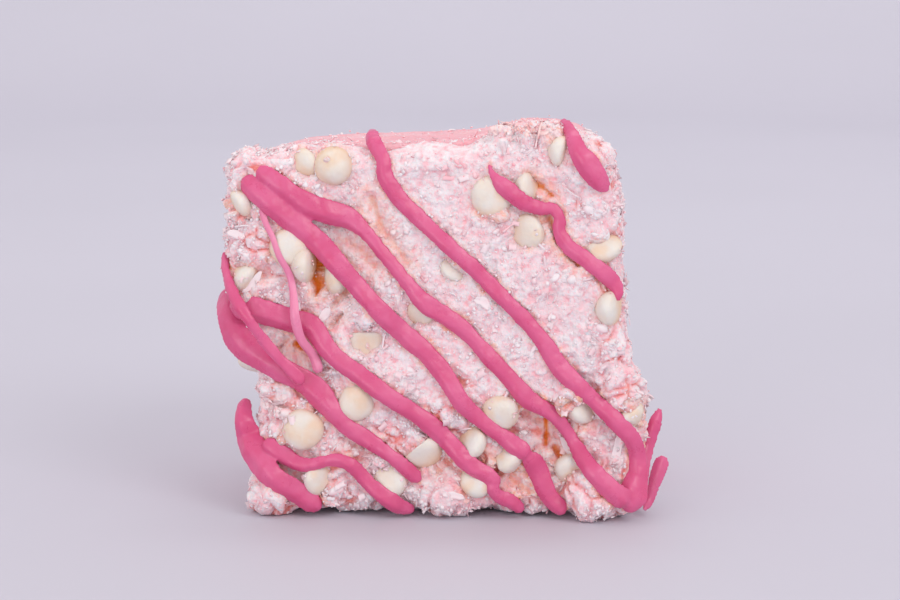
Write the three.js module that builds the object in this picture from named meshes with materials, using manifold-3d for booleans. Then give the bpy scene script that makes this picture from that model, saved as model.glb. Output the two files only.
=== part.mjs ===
// A square marshmallow with a coconut crust, white chocolate chips and a pink chocolate drizzle.
// It lies on one side: the topped face looks to the front (-Y), the moulded base to the back (+Y).
// Millimetres, +Z up, floor at z = 0. Until the last lines the plane y = 0 is the topped face.
import * as THREE from "three";
import { mergeVertices } from "three/addons/utils/BufferGeometryUtils.js";
import Module from "manifold-3d";

// Driving dimensions.
const DEPTH = 34.5; // from the topped face to the moulded base
const CORNERS = {
  footLeft: [-23.2, 0],
  footRight: [24.2, 0],
  topLeft: [-25.8, 43.0],
  topRight: [20.0, 45.7],
};
// How far each edge of the face swells out of the straight line between its corners, at even steps.
const SWELLS = {
  left: [0, -1.4, -1.5, 0.7, 0.8, 0], // from the foot up
  right: [0, 0.7, 0.3, -0.2, 0.3, 0],
  foot: [0, -0.7, -0.4, -0.9, -0.5, 0], // from left to right
  top: [0, 0.3, 0.1, 0, 0.9, 0],
};
const CORNER_RADIUS = 4.2;
const FACE_STEPS = 12; // mesh steps across and up the block

const CRUST = { depth: 7, edgeRadius: 3, lump: 0.55, steps: 4, footGap: 0.2 };
const FOAM = { inset: 0.6, steps: 7, taper: { left: 3.2, right: 2.4, top: 0.9 }, taperPower: 1.7 };
// The wavy join of crust and foam, and a bay in it where the bare foam reaches the face's top edge.
const SEAM = { wave: 1.4, steps: 10, spare: 3, size: 70, start: 1.5 };
const BAY = { x: -5, z: 45, halfWidth: 11, height: 5, depth: 4.4 };
const LEAN = 0.045; // the whole piece leans back by this share of its height
const GAP = 0.3; // between solids that touch

// Dents in the crust's face: [x, z, radius, depth].
const DENTS = [
  [-11.5, 34.0, 4.0, 1.6],
  [14.5, 9.5, 6.0, 2.6],
  [-17.0, 20.5, 4.5, 1.3],
  [12.0, 37.5, 3.5, 1.0],
  [-3.5, 5.0, 5.0, 1.0],
];

// A chip's outline from its flat base to its soft tip: [out, along], in shares of its radius.
const CHIP_PROFILE = [[0, -0.62], [0.85, -0.6], [1, -0.25], [0.9, 0.15], [0.45, 0.65], [0, 0.95]];
const CHIP_SIDES = 7;
// White chocolate chips: [x, z, diameter, tilt, turn, proud]. A chip at tilt 0 points its tip at the
// front and at 180 its flat base. Turn swings the tip round the face. Proud is how far the middle of
// the chip stands out of the crust, and below zero it is sunk.
const CHIPS = [
  [-12.9, 42.4, 4.6, 25, 160, 0.3],
  [-16.3, 41.9, 3.8, 60, 60, -0.5],
  [-18.2, 32.2, 4.6, 165, 30, -0.1],
  [-16.2, 30.3, 4.4, 100, 90, -0.1],
  [-23.6, 37.6, 3.4, 110, 240, -0.7],
  [-23.4, 29.0, 3.6, 100, 120, -0.4],
  [-22.9, 17.6, 4.2, 100, 190, -0.3],
  [-10.0, 13.8, 4.4, 178, 0, 0.0],
  [-16.5, 10.6, 4.9, 174, 40, 0.6],
  [-2.3, 8.3, 4.5, 150, 150, -0.1],
  [-5.9, 4.3, 4.3, 160, 330, -0.4],
  [-15.0, 4.6, 4.0, 140, 90, -0.4],
  [7.2, 12.9, 4.5, 165, 210, 0.0],
  [4.1, 9.0, 4.2, 130, 300, -0.5],
  [8.3, 6.9, 4.4, 110, 320, -0.3],
  [4.3, 4.4, 4.2, 150, 20, -0.5],
  [-9.1, 21.6, 4.6, 178, 80, -1.2],
  [-2.2, 24.9, 3.8, 150, 200, -0.7],
  [1.2, 29.6, 3.2, 130, 40, -0.8],
  [5.9, 38.5, 4.9, 172, 100, 0.1],
  [10.6, 34.4, 4.2, 150, 270, -0.2],
  [9.9, 39.6, 3.8, 120, 80, -0.7],
  [13.9, 44.0, 3.8, 100, 100, -0.7],
  [19.8, 25.5, 4.2, 110, 90, -0.1],
  [19.2, 32.3, 4.2, 130, 350, -0.9],
  [16.3, 13.4, 4.2, 130, 60, -0.3],
  [15.2, 6.2, 3.8, 160, 130, 0.0],
  [22.5, 12.6, 4.0, 100, 330, -0.4],
  [-12.6, 29.1, 4.6, 100, 270, -0.1],
];

// Drizzled strands, each a list of [x, z, width, back]. Back is how far a point lies behind the
// face, where a strand has run over an edge and hangs down a side.
const STRANDS = {
  drizzle_thick_diagonal: [
    [-23.6, 40.6, 2.8, 1.2], [-20.2, 37.7, 3.0], [-16.5, 34.7, 3.0], [-13.2, 31.8, 2.9],
    [-10.2, 28.4, 2.5], [-5.0, 22.9, 2.7], [-2.0, 20.3, 2.6], [0.6, 17.3, 2.5], [2.8, 14.0, 2.3],
    [5.7, 11.4, 2.1], [8.3, 9.5, 2.2], [10.4, 8.2, 2.5],
  ],
  drizzle_thick_tail: [
    [10.9, 7.2, 2.5], [11.8, 5.4, 2.6], [12.9, 2.9, 2.6], [15.0, 0.9, 2.0],
  ],
  drizzle_middle_diagonal: [
    [-21.4, 41.9, 2.2, 0.8], [-18.7, 39.5, 2.6], [-16.1, 37.7, 3.0], [-13.2, 36.6, 3.2],
    [-10.9, 35.8, 2.7], [-8.7, 34.0, 1.9], [-4.3, 28.8, 1.9], [-2.0, 26.2, 2.3],
    [0.9, 24.3, 2.4], [3.5, 22.1, 2.2], [8.3, 16.9, 2.3], [10.6, 14.4, 2.4],
    [13.3, 12.8, 1.9], [15.0, 10.6, 1.9], [16.9, 7.7, 2.2], [19.1, 5.4, 2.6], [21.0, 3.6, 2.8],
  ],
  drizzle_upper_diagonal: [
    [-8.7, 46.0, 1.7, 3.2], [-8.2, 45.0, 2.0, 0.6], [-6.9, 42.9, 2.0], [-6.6, 41.0, 2.1],
    [-5.0, 38.4, 2.2], [-2.8, 36.2, 2.1], [3.5, 30.6, 2.1], [9.4, 24.7, 2.1],
    [12.0, 21.7, 2.1], [14.2, 18.4, 2.5], [16.9, 15.8, 2.3], [20.9, 12.1, 2.3],
    [22.8, 9.9, 2.3], [23.0, 7.4, 2.2],
  ],
  drizzle_right_tail: [
    [26.0, 12.9, 1.0, 3.4], [25.4, 11.2, 1.6, 2.6], [24.7, 9.0, 1.9, 1.6], [23.9, 6.6, 2.4, 0.7],
    [23.0, 4.2, 3.3, 0.2], [22.8, 2.2, 3.4], [23.0, 1.2, 2.6],
  ],
  drizzle_right_spur: [
    [26.6, 6.9, 2.0, 4.6], [26.0, 5.4, 1.9, 4.0], [25.4, 3.6, 1.6, 3.4], [24.9, 1.8, 1.4, 2.8],
  ],
  drizzle_lower_diagonal: [
    [-22.4, 25.2, 2.6, 0.3], [-20.2, 24.4, 2.9], [-17.6, 23.6, 3.1], [-15.4, 22.9, 3.0],
    [-13.9, 21.0, 2.6], [-12.0, 19.1, 2.4], [-9.4, 17.3, 2.5], [-3.5, 13.2, 2.4],
    [-0.6, 11.0, 2.5], [2.0, 8.4, 2.4], [3.9, 6.6, 2.4], [5.6, 5.6, 2.2], [6.9, 4.3, 2.1],
  ],
  drizzle_lower_stub: [[6.4, 3.4, 1.7], [8.3, 2.3, 2.0], [9.8, 1.0, 1.6]],
  drizzle_left_pool: [
    [-26.6, 26.4, 1.9, 3.6], [-26.0, 25.0, 3.2, 1.3], [-24.9, 22.6, 3.7, 0.3],
    [-22.8, 20.1, 3.9], [-20.2, 18.5, 3.2], [-17.6, 17.2, 3.0], [-15.0, 15.5, 3.2],
    [-12.8, 12.9, 2.7], [-11.0, 11.0, 2.4], [-8.0, 9.1, 2.1], [-5.0, 7.0, 2.0], [-2.5, 4.5, 2.1],
  ],
  drizzle_left_loop: [
    [-26.3, 31.4, 0.9, 2.6], [-25.7, 29.4, 1.3, 1.2], [-24.4, 26.8, 1.6, -1.2],
    [-22.4, 24.0, 1.6, -2.6], [-20.6, 21.4, 1.6, -2.4], [-18.4, 18.9, 1.6, -2.0],
    [-16.2, 16.6, 1.7, -2.0],
  ],
  drizzle_thread: [
    [-21.1, 35.6, 0.8], [-19.9, 33.8, 0.7], [-19.1, 31.6, 0.7], [-18.0, 29.4, 0.8],
    [-17.4, 26.8, 0.9, -1.2], [-17.1, 24.2, 1.0, -2.4], [-16.5, 21.7, 1.1, -2.0],
    [-15.2, 19.5, 1.2, -0.6], [-14.5, 17.6, 1.3, -0.9],
  ],
  drizzle_corner_pool: [
    [-23.9, 13.6, 1.6, 2.6], [-23.9, 11.6, 2.5, 1.0], [-23.1, 9.0, 3.4, 0.2],
    [-21.6, 6.9, 3.5], [-19.8, 5.0, 3.1], [-17.6, 3.5, 3.0], [-15.8, 2.1, 2.8], [-14.3, 1.2, 2.0],
  ],
  drizzle_corner_branch: [
    [-21.2, 9.2, 2.2], [-18.7, 7.6, 2.3], [-16.5, 6.6, 2.0], [-13.9, 7.0, 1.7],
    [-12.4, 7.2, 1.9], [-10.6, 6.6, 2.0], [-8.7, 4.5, 2.0], [-6.5, 2.7, 2.3],
    [-4.7, 1.4, 2.1], [-3.2, 0.9, 1.2],
  ],
  drizzle_top_drop: [
    [13.9, 47.3, 1.5, 2.2], [15.2, 46.0, 1.8, 0.4], [16.1, 44.0, 2.4], [17.2, 42.5, 3.2],
    [18.5, 40.7, 2.6], [19.5, 39.4, 1.4],
  ],
  drizzle_top_wave: [
    [5.6, 42.6, 0.6], [6.3, 41.0, 1.2], [8.0, 39.5, 2.3], [9.8, 38.0, 2.2], [11.7, 37.3, 1.8],
    [13.2, 37.2, 1.6], [13.9, 36.1, 1.6], [13.9, 34.6, 1.8], [15.0, 32.8, 2.0],
    [17.2, 31.3, 2.2], [19.4, 29.6, 2.2], [20.7, 28.0, 1.8, 0.3], [20.9, 26.5, 1.0, 0.5],
  ],
};
// Thickness and overhang are shares of the width. A round end tapers over the end share.
const STRAND = { thickness: 0.66, sides: 6, step: 2.7, overhang: 0.9, endShare: 0.75, endReach: 0.7 };
// Where a probe starts in front of the face, and what it finds where there is no surface.
const PROBE = { start: -50, miss: 1.5 };

const wasm = await Module();
wasm.setup();
const { lerp, clamp } = THREE.MathUtils;

// A closed geometry as a solid that can be joined and cut.
function toSolid(geometry) {
  const bare = new THREE.BufferGeometry().setIndex(geometry.index);
  bare.setAttribute("position", geometry.getAttribute("position"));
  const merged = mergeVertices(bare, 1e-3);
  return new wasm.Manifold(
    new wasm.Mesh({
      numProp: 3,
      vertProperties: merged.attributes.position.array,
      triVerts: new Uint32Array(merged.index.array),
    }),
  );
}

function toGeometry(solid) {
  const mesh = solid.getMesh();
  const geometry = new THREE.BufferGeometry();
  geometry.setAttribute("position", new THREE.BufferAttribute(mesh.vertProperties, 3));
  geometry.setIndex(new THREE.BufferAttribute(mesh.triVerts, 1));
  geometry.computeVertexNormals();
  return geometry;
}

// The largest single body of a solid that a cut may have split.
function mainBody(solid) {
  return solid.decompose().reduce((a, b) => (b.volume() > a.volume() ? b : a));
}

// One edge's swell at a share of its length.
function swell(edge, share) {
  const points = SWELLS[edge].map((offset, i) => new THREE.Vector2(i, offset));
  return new THREE.SplineCurve(points).getPoint(clamp(share, 0, 1)).y;
}

// The point of the face at a share across and up it: a patch stretched between its four edges.
function faceAt(across, up) {
  const { footLeft, footRight, topLeft, topRight } = CORNERS;
  const mix = (a, b, t) => [lerp(a[0], b[0], t), lerp(a[1], b[1], t)];
  const left = mix(footLeft, topLeft, up);
  const right = mix(footRight, topRight, up);
  const foot = mix(footLeft, footRight, across);
  const top = mix(topLeft, topRight, across);
  left[0] -= swell("left", up);
  right[0] += swell("right", up);
  foot[1] -= swell("foot", across);
  top[1] += swell("top", across);
  const flat = mix(mix(footLeft, footRight, across), mix(topLeft, topRight, across), up);
  return [0, 1].map(
    (i) => lerp(left[i], right[i], across) + lerp(foot[i], top[i], up) - flat[i],
  );
}

// Moves a step count's even spacing towards both ends, where the rounded edges need it.
const crowd = (t) => t * (1.28 - 0.28 * t * t);

// A block whose long edges are rounded, in shares of the face and in mm of depth. Place gets each
// vertex's share across and up, its depth and its outward direction, and returns its position.
function softBlock(depth, steps, radius, rounds, place) {
  const box = new THREE.BoxGeometry(2, 2, 2, FACE_STEPS, steps, FACE_STEPS);
  const position = box.getAttribute("position");
  const half = (CORNERS.footRight[0] - CORNERS.footLeft[0]) / 2;
  for (let i = 0; i < position.count; i++) {
    const [x, z] = [position.getX(i), position.getZ(i)].map((t) => crowd(t) * half);
    const y = ((position.getY(i) + 1) / 2) * depth;
    const core = new THREE.Vector3(
      clamp(x, radius - half, half - radius),
      clamp(y, rounds.front ? radius : 0, rounds.back ? depth - radius : depth),
      clamp(z, radius - half, half - radius),
    );
    const out = new THREE.Vector3(x, y, z).sub(core);
    const point = out.length() > 0 ? core.clone().addScaledVector(out.normalize(), radius) : core;
    const across = (point.x / half + 1) / 2;
    const up = (point.z / half + 1) / 2;
    position.setXYZ(i, ...place(across, up, point.y, out));
  }
  return toSolid(box);
}

// Slow uneven waves, between -1 and 1.
function lumps(x, z) {
  return (
    0.45 * Math.sin(0.62 * x + 0.35 * z + 0.6) +
    0.35 * Math.sin(0.48 * z - 0.81 * x + 2.1) +
    0.2 * Math.sin(1.17 * z + 0.55 * x + 4.0)
  );
}

const dentAt = (x, z) =>
  DENTS.reduce(
    (sum, [dx, dz, r, depth]) => sum + depth * Math.exp(-((x - dx) ** 2 + (z - dz) ** 2) / r ** 2),
    0,
  );

// Everything behind the wavy seam of crust and foam, moved back by a shift.
function behindSeam(shift) {
  const { wave, steps, size } = SEAM;
  const slab = new THREE.BoxGeometry(size, 2 * size, size, steps, 1, steps);
  slab.translate(0, size, size / 3);
  const position = slab.getAttribute("position");
  for (let i = 0; i < position.count; i++) {
    const [x, z] = [position.getX(i), position.getZ(i)];
    if (position.getY(i) === 0) {
      const bend = lumps(0.45 * x + 9, 0.45 * z - 4);
      const bay = Math.exp(-(((x - BAY.x) / BAY.halfWidth) ** 4) - ((z - BAY.z) / BAY.height) ** 2);
      position.setY(i, CRUST.depth + wave * bend - BAY.depth * bay + shift);
    }
  }
  return toSolid(slab);
}

function makeCrust() {
  const { edgeRadius, lump, steps, footGap } = CRUST;
  const depth = CRUST.depth + SEAM.spare;
  const block = softBlock(depth, steps, edgeRadius, { front: true }, (across, up, y, out) => {
    const [x, z] = faceAt(across, up);
    const wave = lump * lumps(x + 1.3 * y, z - 1.7 * y);
    const dent = dentAt(x, z) * Math.max(0, -out.y);
    return [x + out.x * wave, y + out.y * wave + dent, Math.max(z + out.z * wave, footGap)];
  });
  return block.subtract(behindSeam(-GAP / 2));
}

function makeFoam() {
  const { inset, steps, taper, taperPower } = FOAM;
  const start = SEAM.start;
  const depth = DEPTH - start;
  const block = softBlock(depth, steps, CORNER_RADIUS, { back: true }, (across, up, y) => {
    const [x, z] = faceAt(across, up);
    const narrow = (y / depth) ** taperPower;
    const left = (1 - across) * (inset + taper.left * narrow);
    const right = across * (inset + taper.right * narrow);
    const sink = up * taper.top * narrow;
    return [x + left - right, y + start, Math.max(z * Math.min(1, 3 * up) - sink, 0)];
  });
  return block.intersect(behindSeam(GAP / 2));
}

// A drop: flat base with a rounded rim, and a soft tip. Its axis is Y and its middle is the origin.
function chipGeometry(diameter, grow) {
  const r = diameter / 2 + grow;
  const outline = CHIP_PROFILE.map(([out, along]) => new THREE.Vector2(out * r, along * r));
  return new THREE.LatheGeometry(outline, CHIP_SIDES);
}

// Finds how deep the outer surface of some solids lies behind a point in front of the face.
function surfaceProbe(solids) {
  const material = new THREE.MeshBasicMaterial({ side: THREE.DoubleSide });
  const meshes = solids.map((solid) => new THREE.Mesh(toGeometry(solid), material));
  const ray = new THREE.Raycaster();
  return (x, z) => {
    ray.set(new THREE.Vector3(x, PROBE.start, z), new THREE.Vector3(0, 1, 0));
    const hit = ray.intersectObjects(meshes)[0];
    return hit ? hit.point.y : null;
  };
}

function makeChip([x, z, diameter, tilt, turn, proud], surface, grow = 0) {
  const geometry = chipGeometry(diameter, grow);
  geometry.rotateX(Math.PI);
  geometry.rotateX(THREE.MathUtils.degToRad(tilt));
  geometry.rotateY(THREE.MathUtils.degToRad(turn));
  geometry.translate(x, (surface(x, z) ?? PROBE.miss) - proud, z);
  return toSolid(geometry);
}

// The strand's middle line, laid on the surface: [{ point, width }] at even steps.
function layStrand(points, surface) {
  const path = new THREE.CatmullRomCurve3(points.map(([x, z]) => new THREE.Vector3(x, 0, z)));
  const rest = points.map(([, , width, back = 0]) => new THREE.Vector2(width, back));
  const facts = new THREE.SplineCurve(rest);
  const count = Math.max(4, Math.round(path.getLength() / STRAND.step));
  const stations = [];
  for (let i = 0; i <= count; i++) {
    const t = path.getUtoTmapping(i / count);
    const point = path.getPoint(t);
    const { x: width, y: back } = facts.getPoint(t);
    const heights = [[0, 0], [0.4, 0], [-0.4, 0], [0, 0.4], [0, -0.4]]
      .map(([dx, dz]) => surface(point.x + dx * width, point.z + dz * width))
      .filter((y) => y !== null);
    const under = heights.length ? Math.min(...heights) : PROBE.miss;
    stations.push({ point, width, back, under });
  }
  stations.forEach((station, i) => {
    const near = stations.slice(Math.max(0, i - 1), i + 2).map((s) => s.under);
    const bridge = (Math.min(...near) + station.under) / 2;
    const half = (station.width * STRAND.thickness) / 2;
    station.point.y = bridge + station.back - half * STRAND.overhang - GAP;
    station.point.z = Math.max(station.point.z, station.width / 2 + GAP);
  });
  return stations;
}

// A flattened tube through the stations, with round ends.
function strandSolid(stations, grow = 0) {
  const line = new THREE.CatmullRomCurve3(stations.map((s) => s.point));
  const front = new THREE.Vector3(0, -1, 0);
  const rings = stations.map((station, i) => {
    const along = line.getTangent(i / (stations.length - 1));
    const across = new THREE.Vector3().crossVectors(along, front).normalize();
    const out = new THREE.Vector3().crossVectors(across, along).normalize();
    const half = station.width / 2 + grow;
    const thick = (station.width * STRAND.thickness) / 2 + grow;
    return { centre: station.point, along, across, out, half, thick };
  });
  const [first, last] = [rings[0], rings.at(-1)];
  const cap = (ring, sign, share) => ({
    ...ring,
    centre: ring.centre
      .clone()
      .addScaledVector(ring.along, sign * ring.half * STRAND.endReach * share),
    half: ring.half * Math.sqrt(1 - share * share),
    thick: ring.thick * Math.sqrt(1 - share * share),
  });
  const all = [cap(first, -1, STRAND.endShare), ...rings, cap(last, 1, STRAND.endShare)];
  const positions = [];
  for (const { centre, across, out, half, thick } of all) {
    for (let k = 0; k < STRAND.sides; k++) {
      const angle = (2 * Math.PI * k) / STRAND.sides;
      const point = centre.clone().addScaledVector(across, half * Math.cos(angle));
      positions.push(...point.addScaledVector(out, thick * Math.sin(angle)));
    }
  }
  const startTip = positions.length / 3;
  positions.push(...cap(first, -1, 1).centre, ...cap(last, 1, 1).centre);
  const index = [];
  const n = STRAND.sides;
  for (let k = 0; k < n; k++) {
    const next = (k + 1) % n;
    index.push(startTip, k, next);
    for (let r = 0; r < all.length - 1; r++) {
      const [a, b, c, d] = [r * n + k, r * n + next, (r + 1) * n + k, (r + 1) * n + next];
      index.push(a, c, b, b, c, d);
    }
    const end = (all.length - 1) * n;
    index.push(startTip + 1, end + next, end + k);
  }
  const geometry = new THREE.BufferGeometry().setIndex(index);
  geometry.setAttribute("position", new THREE.Float32BufferAttribute(positions, 3));
  return toSolid(geometry);
}

const cutAll = (solid, tools) => tools.reduce((left, tool) => left.subtract(tool), solid);

const MATERIALS = {
  foam: new THREE.MeshStandardMaterial({ color: "#f2b3bd", roughness: 0.85 }),
  coconut: new THREE.MeshStandardMaterial({ color: "#f3e2e2", roughness: 0.8 }),
  whiteChocolate: new THREE.MeshStandardMaterial({ color: "#f3e6cf", roughness: 0.45 }),
  pinkChocolate: new THREE.MeshStandardMaterial({ color: "#dd5c93", roughness: 0.35 }),
};

function named(name, solid, material) {
  const lean = new THREE.Matrix4().makeShear(0, 0, 0, 0, 0, LEAN);
  const mesh = new THREE.Mesh(toGeometry(mainBody(solid)).applyMatrix4(lean), material);
  mesh.name = name;
  return mesh;
}

function makeMarshmallow() {
  const crust = makeCrust();
  const onCrust = surfaceProbe([crust]);
  const rawChips = CHIPS.map((chip) => makeChip(chip, onCrust));
  const onTopping = surfaceProbe([crust, ...rawChips]);

  const routes = Object.entries(STRANDS).map(([name, points]) => {
    const stations = layStrand(points, onTopping);
    return { name, solid: strandSolid(stations), room: strandSolid(stations, GAP) };
  });
  const strandRooms = routes.map((route) => route.room);
  const chipRooms = CHIPS.map((chip) => makeChip(chip, onCrust, GAP));

  const group = new THREE.Group();
  group.add(named("foam", makeFoam(), MATERIALS.foam));
  group.add(named("crust", cutAll(crust, [...strandRooms, ...chipRooms]), MATERIALS.coconut));
  rawChips.forEach((chip, i) => {
    const clear = cutAll(chip, [...strandRooms, ...chipRooms.slice(0, i)]);
    const name = `white_chip_${String(i + 1).padStart(2, "0")}`;
    group.add(named(name, clear, MATERIALS.whiteChocolate));
  });
  routes.forEach(({ name, solid }, i) => {
    const clear = cutAll(solid, strandRooms.slice(0, i));
    group.add(named(name, clear, MATERIALS.pinkChocolate));
  });
  return group;
}

// Stands the finished piece on the floor, over the origin.
const marshmallow = makeMarshmallow();
const box = new THREE.Box3().setFromObject(marshmallow);
const middle = box.getCenter(new THREE.Vector3());
marshmallow.position.set(-middle.x, -middle.y, -box.min.z);
export default marshmallow;
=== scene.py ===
"""Looks of a square marshmallow that lies on its side.

The block is marbled pink and white foam. The face that looks to the front has a thick coconut
crust with white chocolate chips set in it, and a pink chocolate drizzle runs over them all.
"""

import logging
import math
from dataclasses import dataclass
from enum import Enum

import bpy
import numpy as np
from mathutils import Matrix, Vector, noise
from mathutils.bvhtree import BVHTree
from mathutils.kdtree import KDTree

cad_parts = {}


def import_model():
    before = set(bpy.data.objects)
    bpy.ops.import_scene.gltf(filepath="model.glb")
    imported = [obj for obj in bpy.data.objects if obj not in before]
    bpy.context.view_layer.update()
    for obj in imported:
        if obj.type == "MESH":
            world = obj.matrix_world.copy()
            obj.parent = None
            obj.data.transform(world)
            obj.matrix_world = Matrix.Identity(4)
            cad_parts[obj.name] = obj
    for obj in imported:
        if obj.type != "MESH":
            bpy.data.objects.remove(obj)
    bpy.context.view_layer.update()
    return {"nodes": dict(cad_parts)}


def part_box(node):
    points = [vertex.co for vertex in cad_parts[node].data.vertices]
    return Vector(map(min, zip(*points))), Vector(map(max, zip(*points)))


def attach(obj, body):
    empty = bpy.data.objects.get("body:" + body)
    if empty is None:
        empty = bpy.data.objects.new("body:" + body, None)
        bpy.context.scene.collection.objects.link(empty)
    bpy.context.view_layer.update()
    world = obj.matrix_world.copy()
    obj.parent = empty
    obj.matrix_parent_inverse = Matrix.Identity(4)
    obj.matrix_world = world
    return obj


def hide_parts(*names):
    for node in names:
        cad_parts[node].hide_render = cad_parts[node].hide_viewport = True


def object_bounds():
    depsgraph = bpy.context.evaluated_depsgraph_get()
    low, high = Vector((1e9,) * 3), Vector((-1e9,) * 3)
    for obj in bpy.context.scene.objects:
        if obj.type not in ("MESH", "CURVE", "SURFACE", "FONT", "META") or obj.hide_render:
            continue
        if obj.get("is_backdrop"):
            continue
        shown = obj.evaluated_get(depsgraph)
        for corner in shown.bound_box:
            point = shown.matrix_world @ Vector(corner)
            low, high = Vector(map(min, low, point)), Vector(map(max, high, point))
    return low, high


log = logging.getLogger("marshmallow")

MM = 0.001
BODY = "root"
SEED = 7
FRONT = Vector((0.0, -1.0, 0.0))

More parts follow.
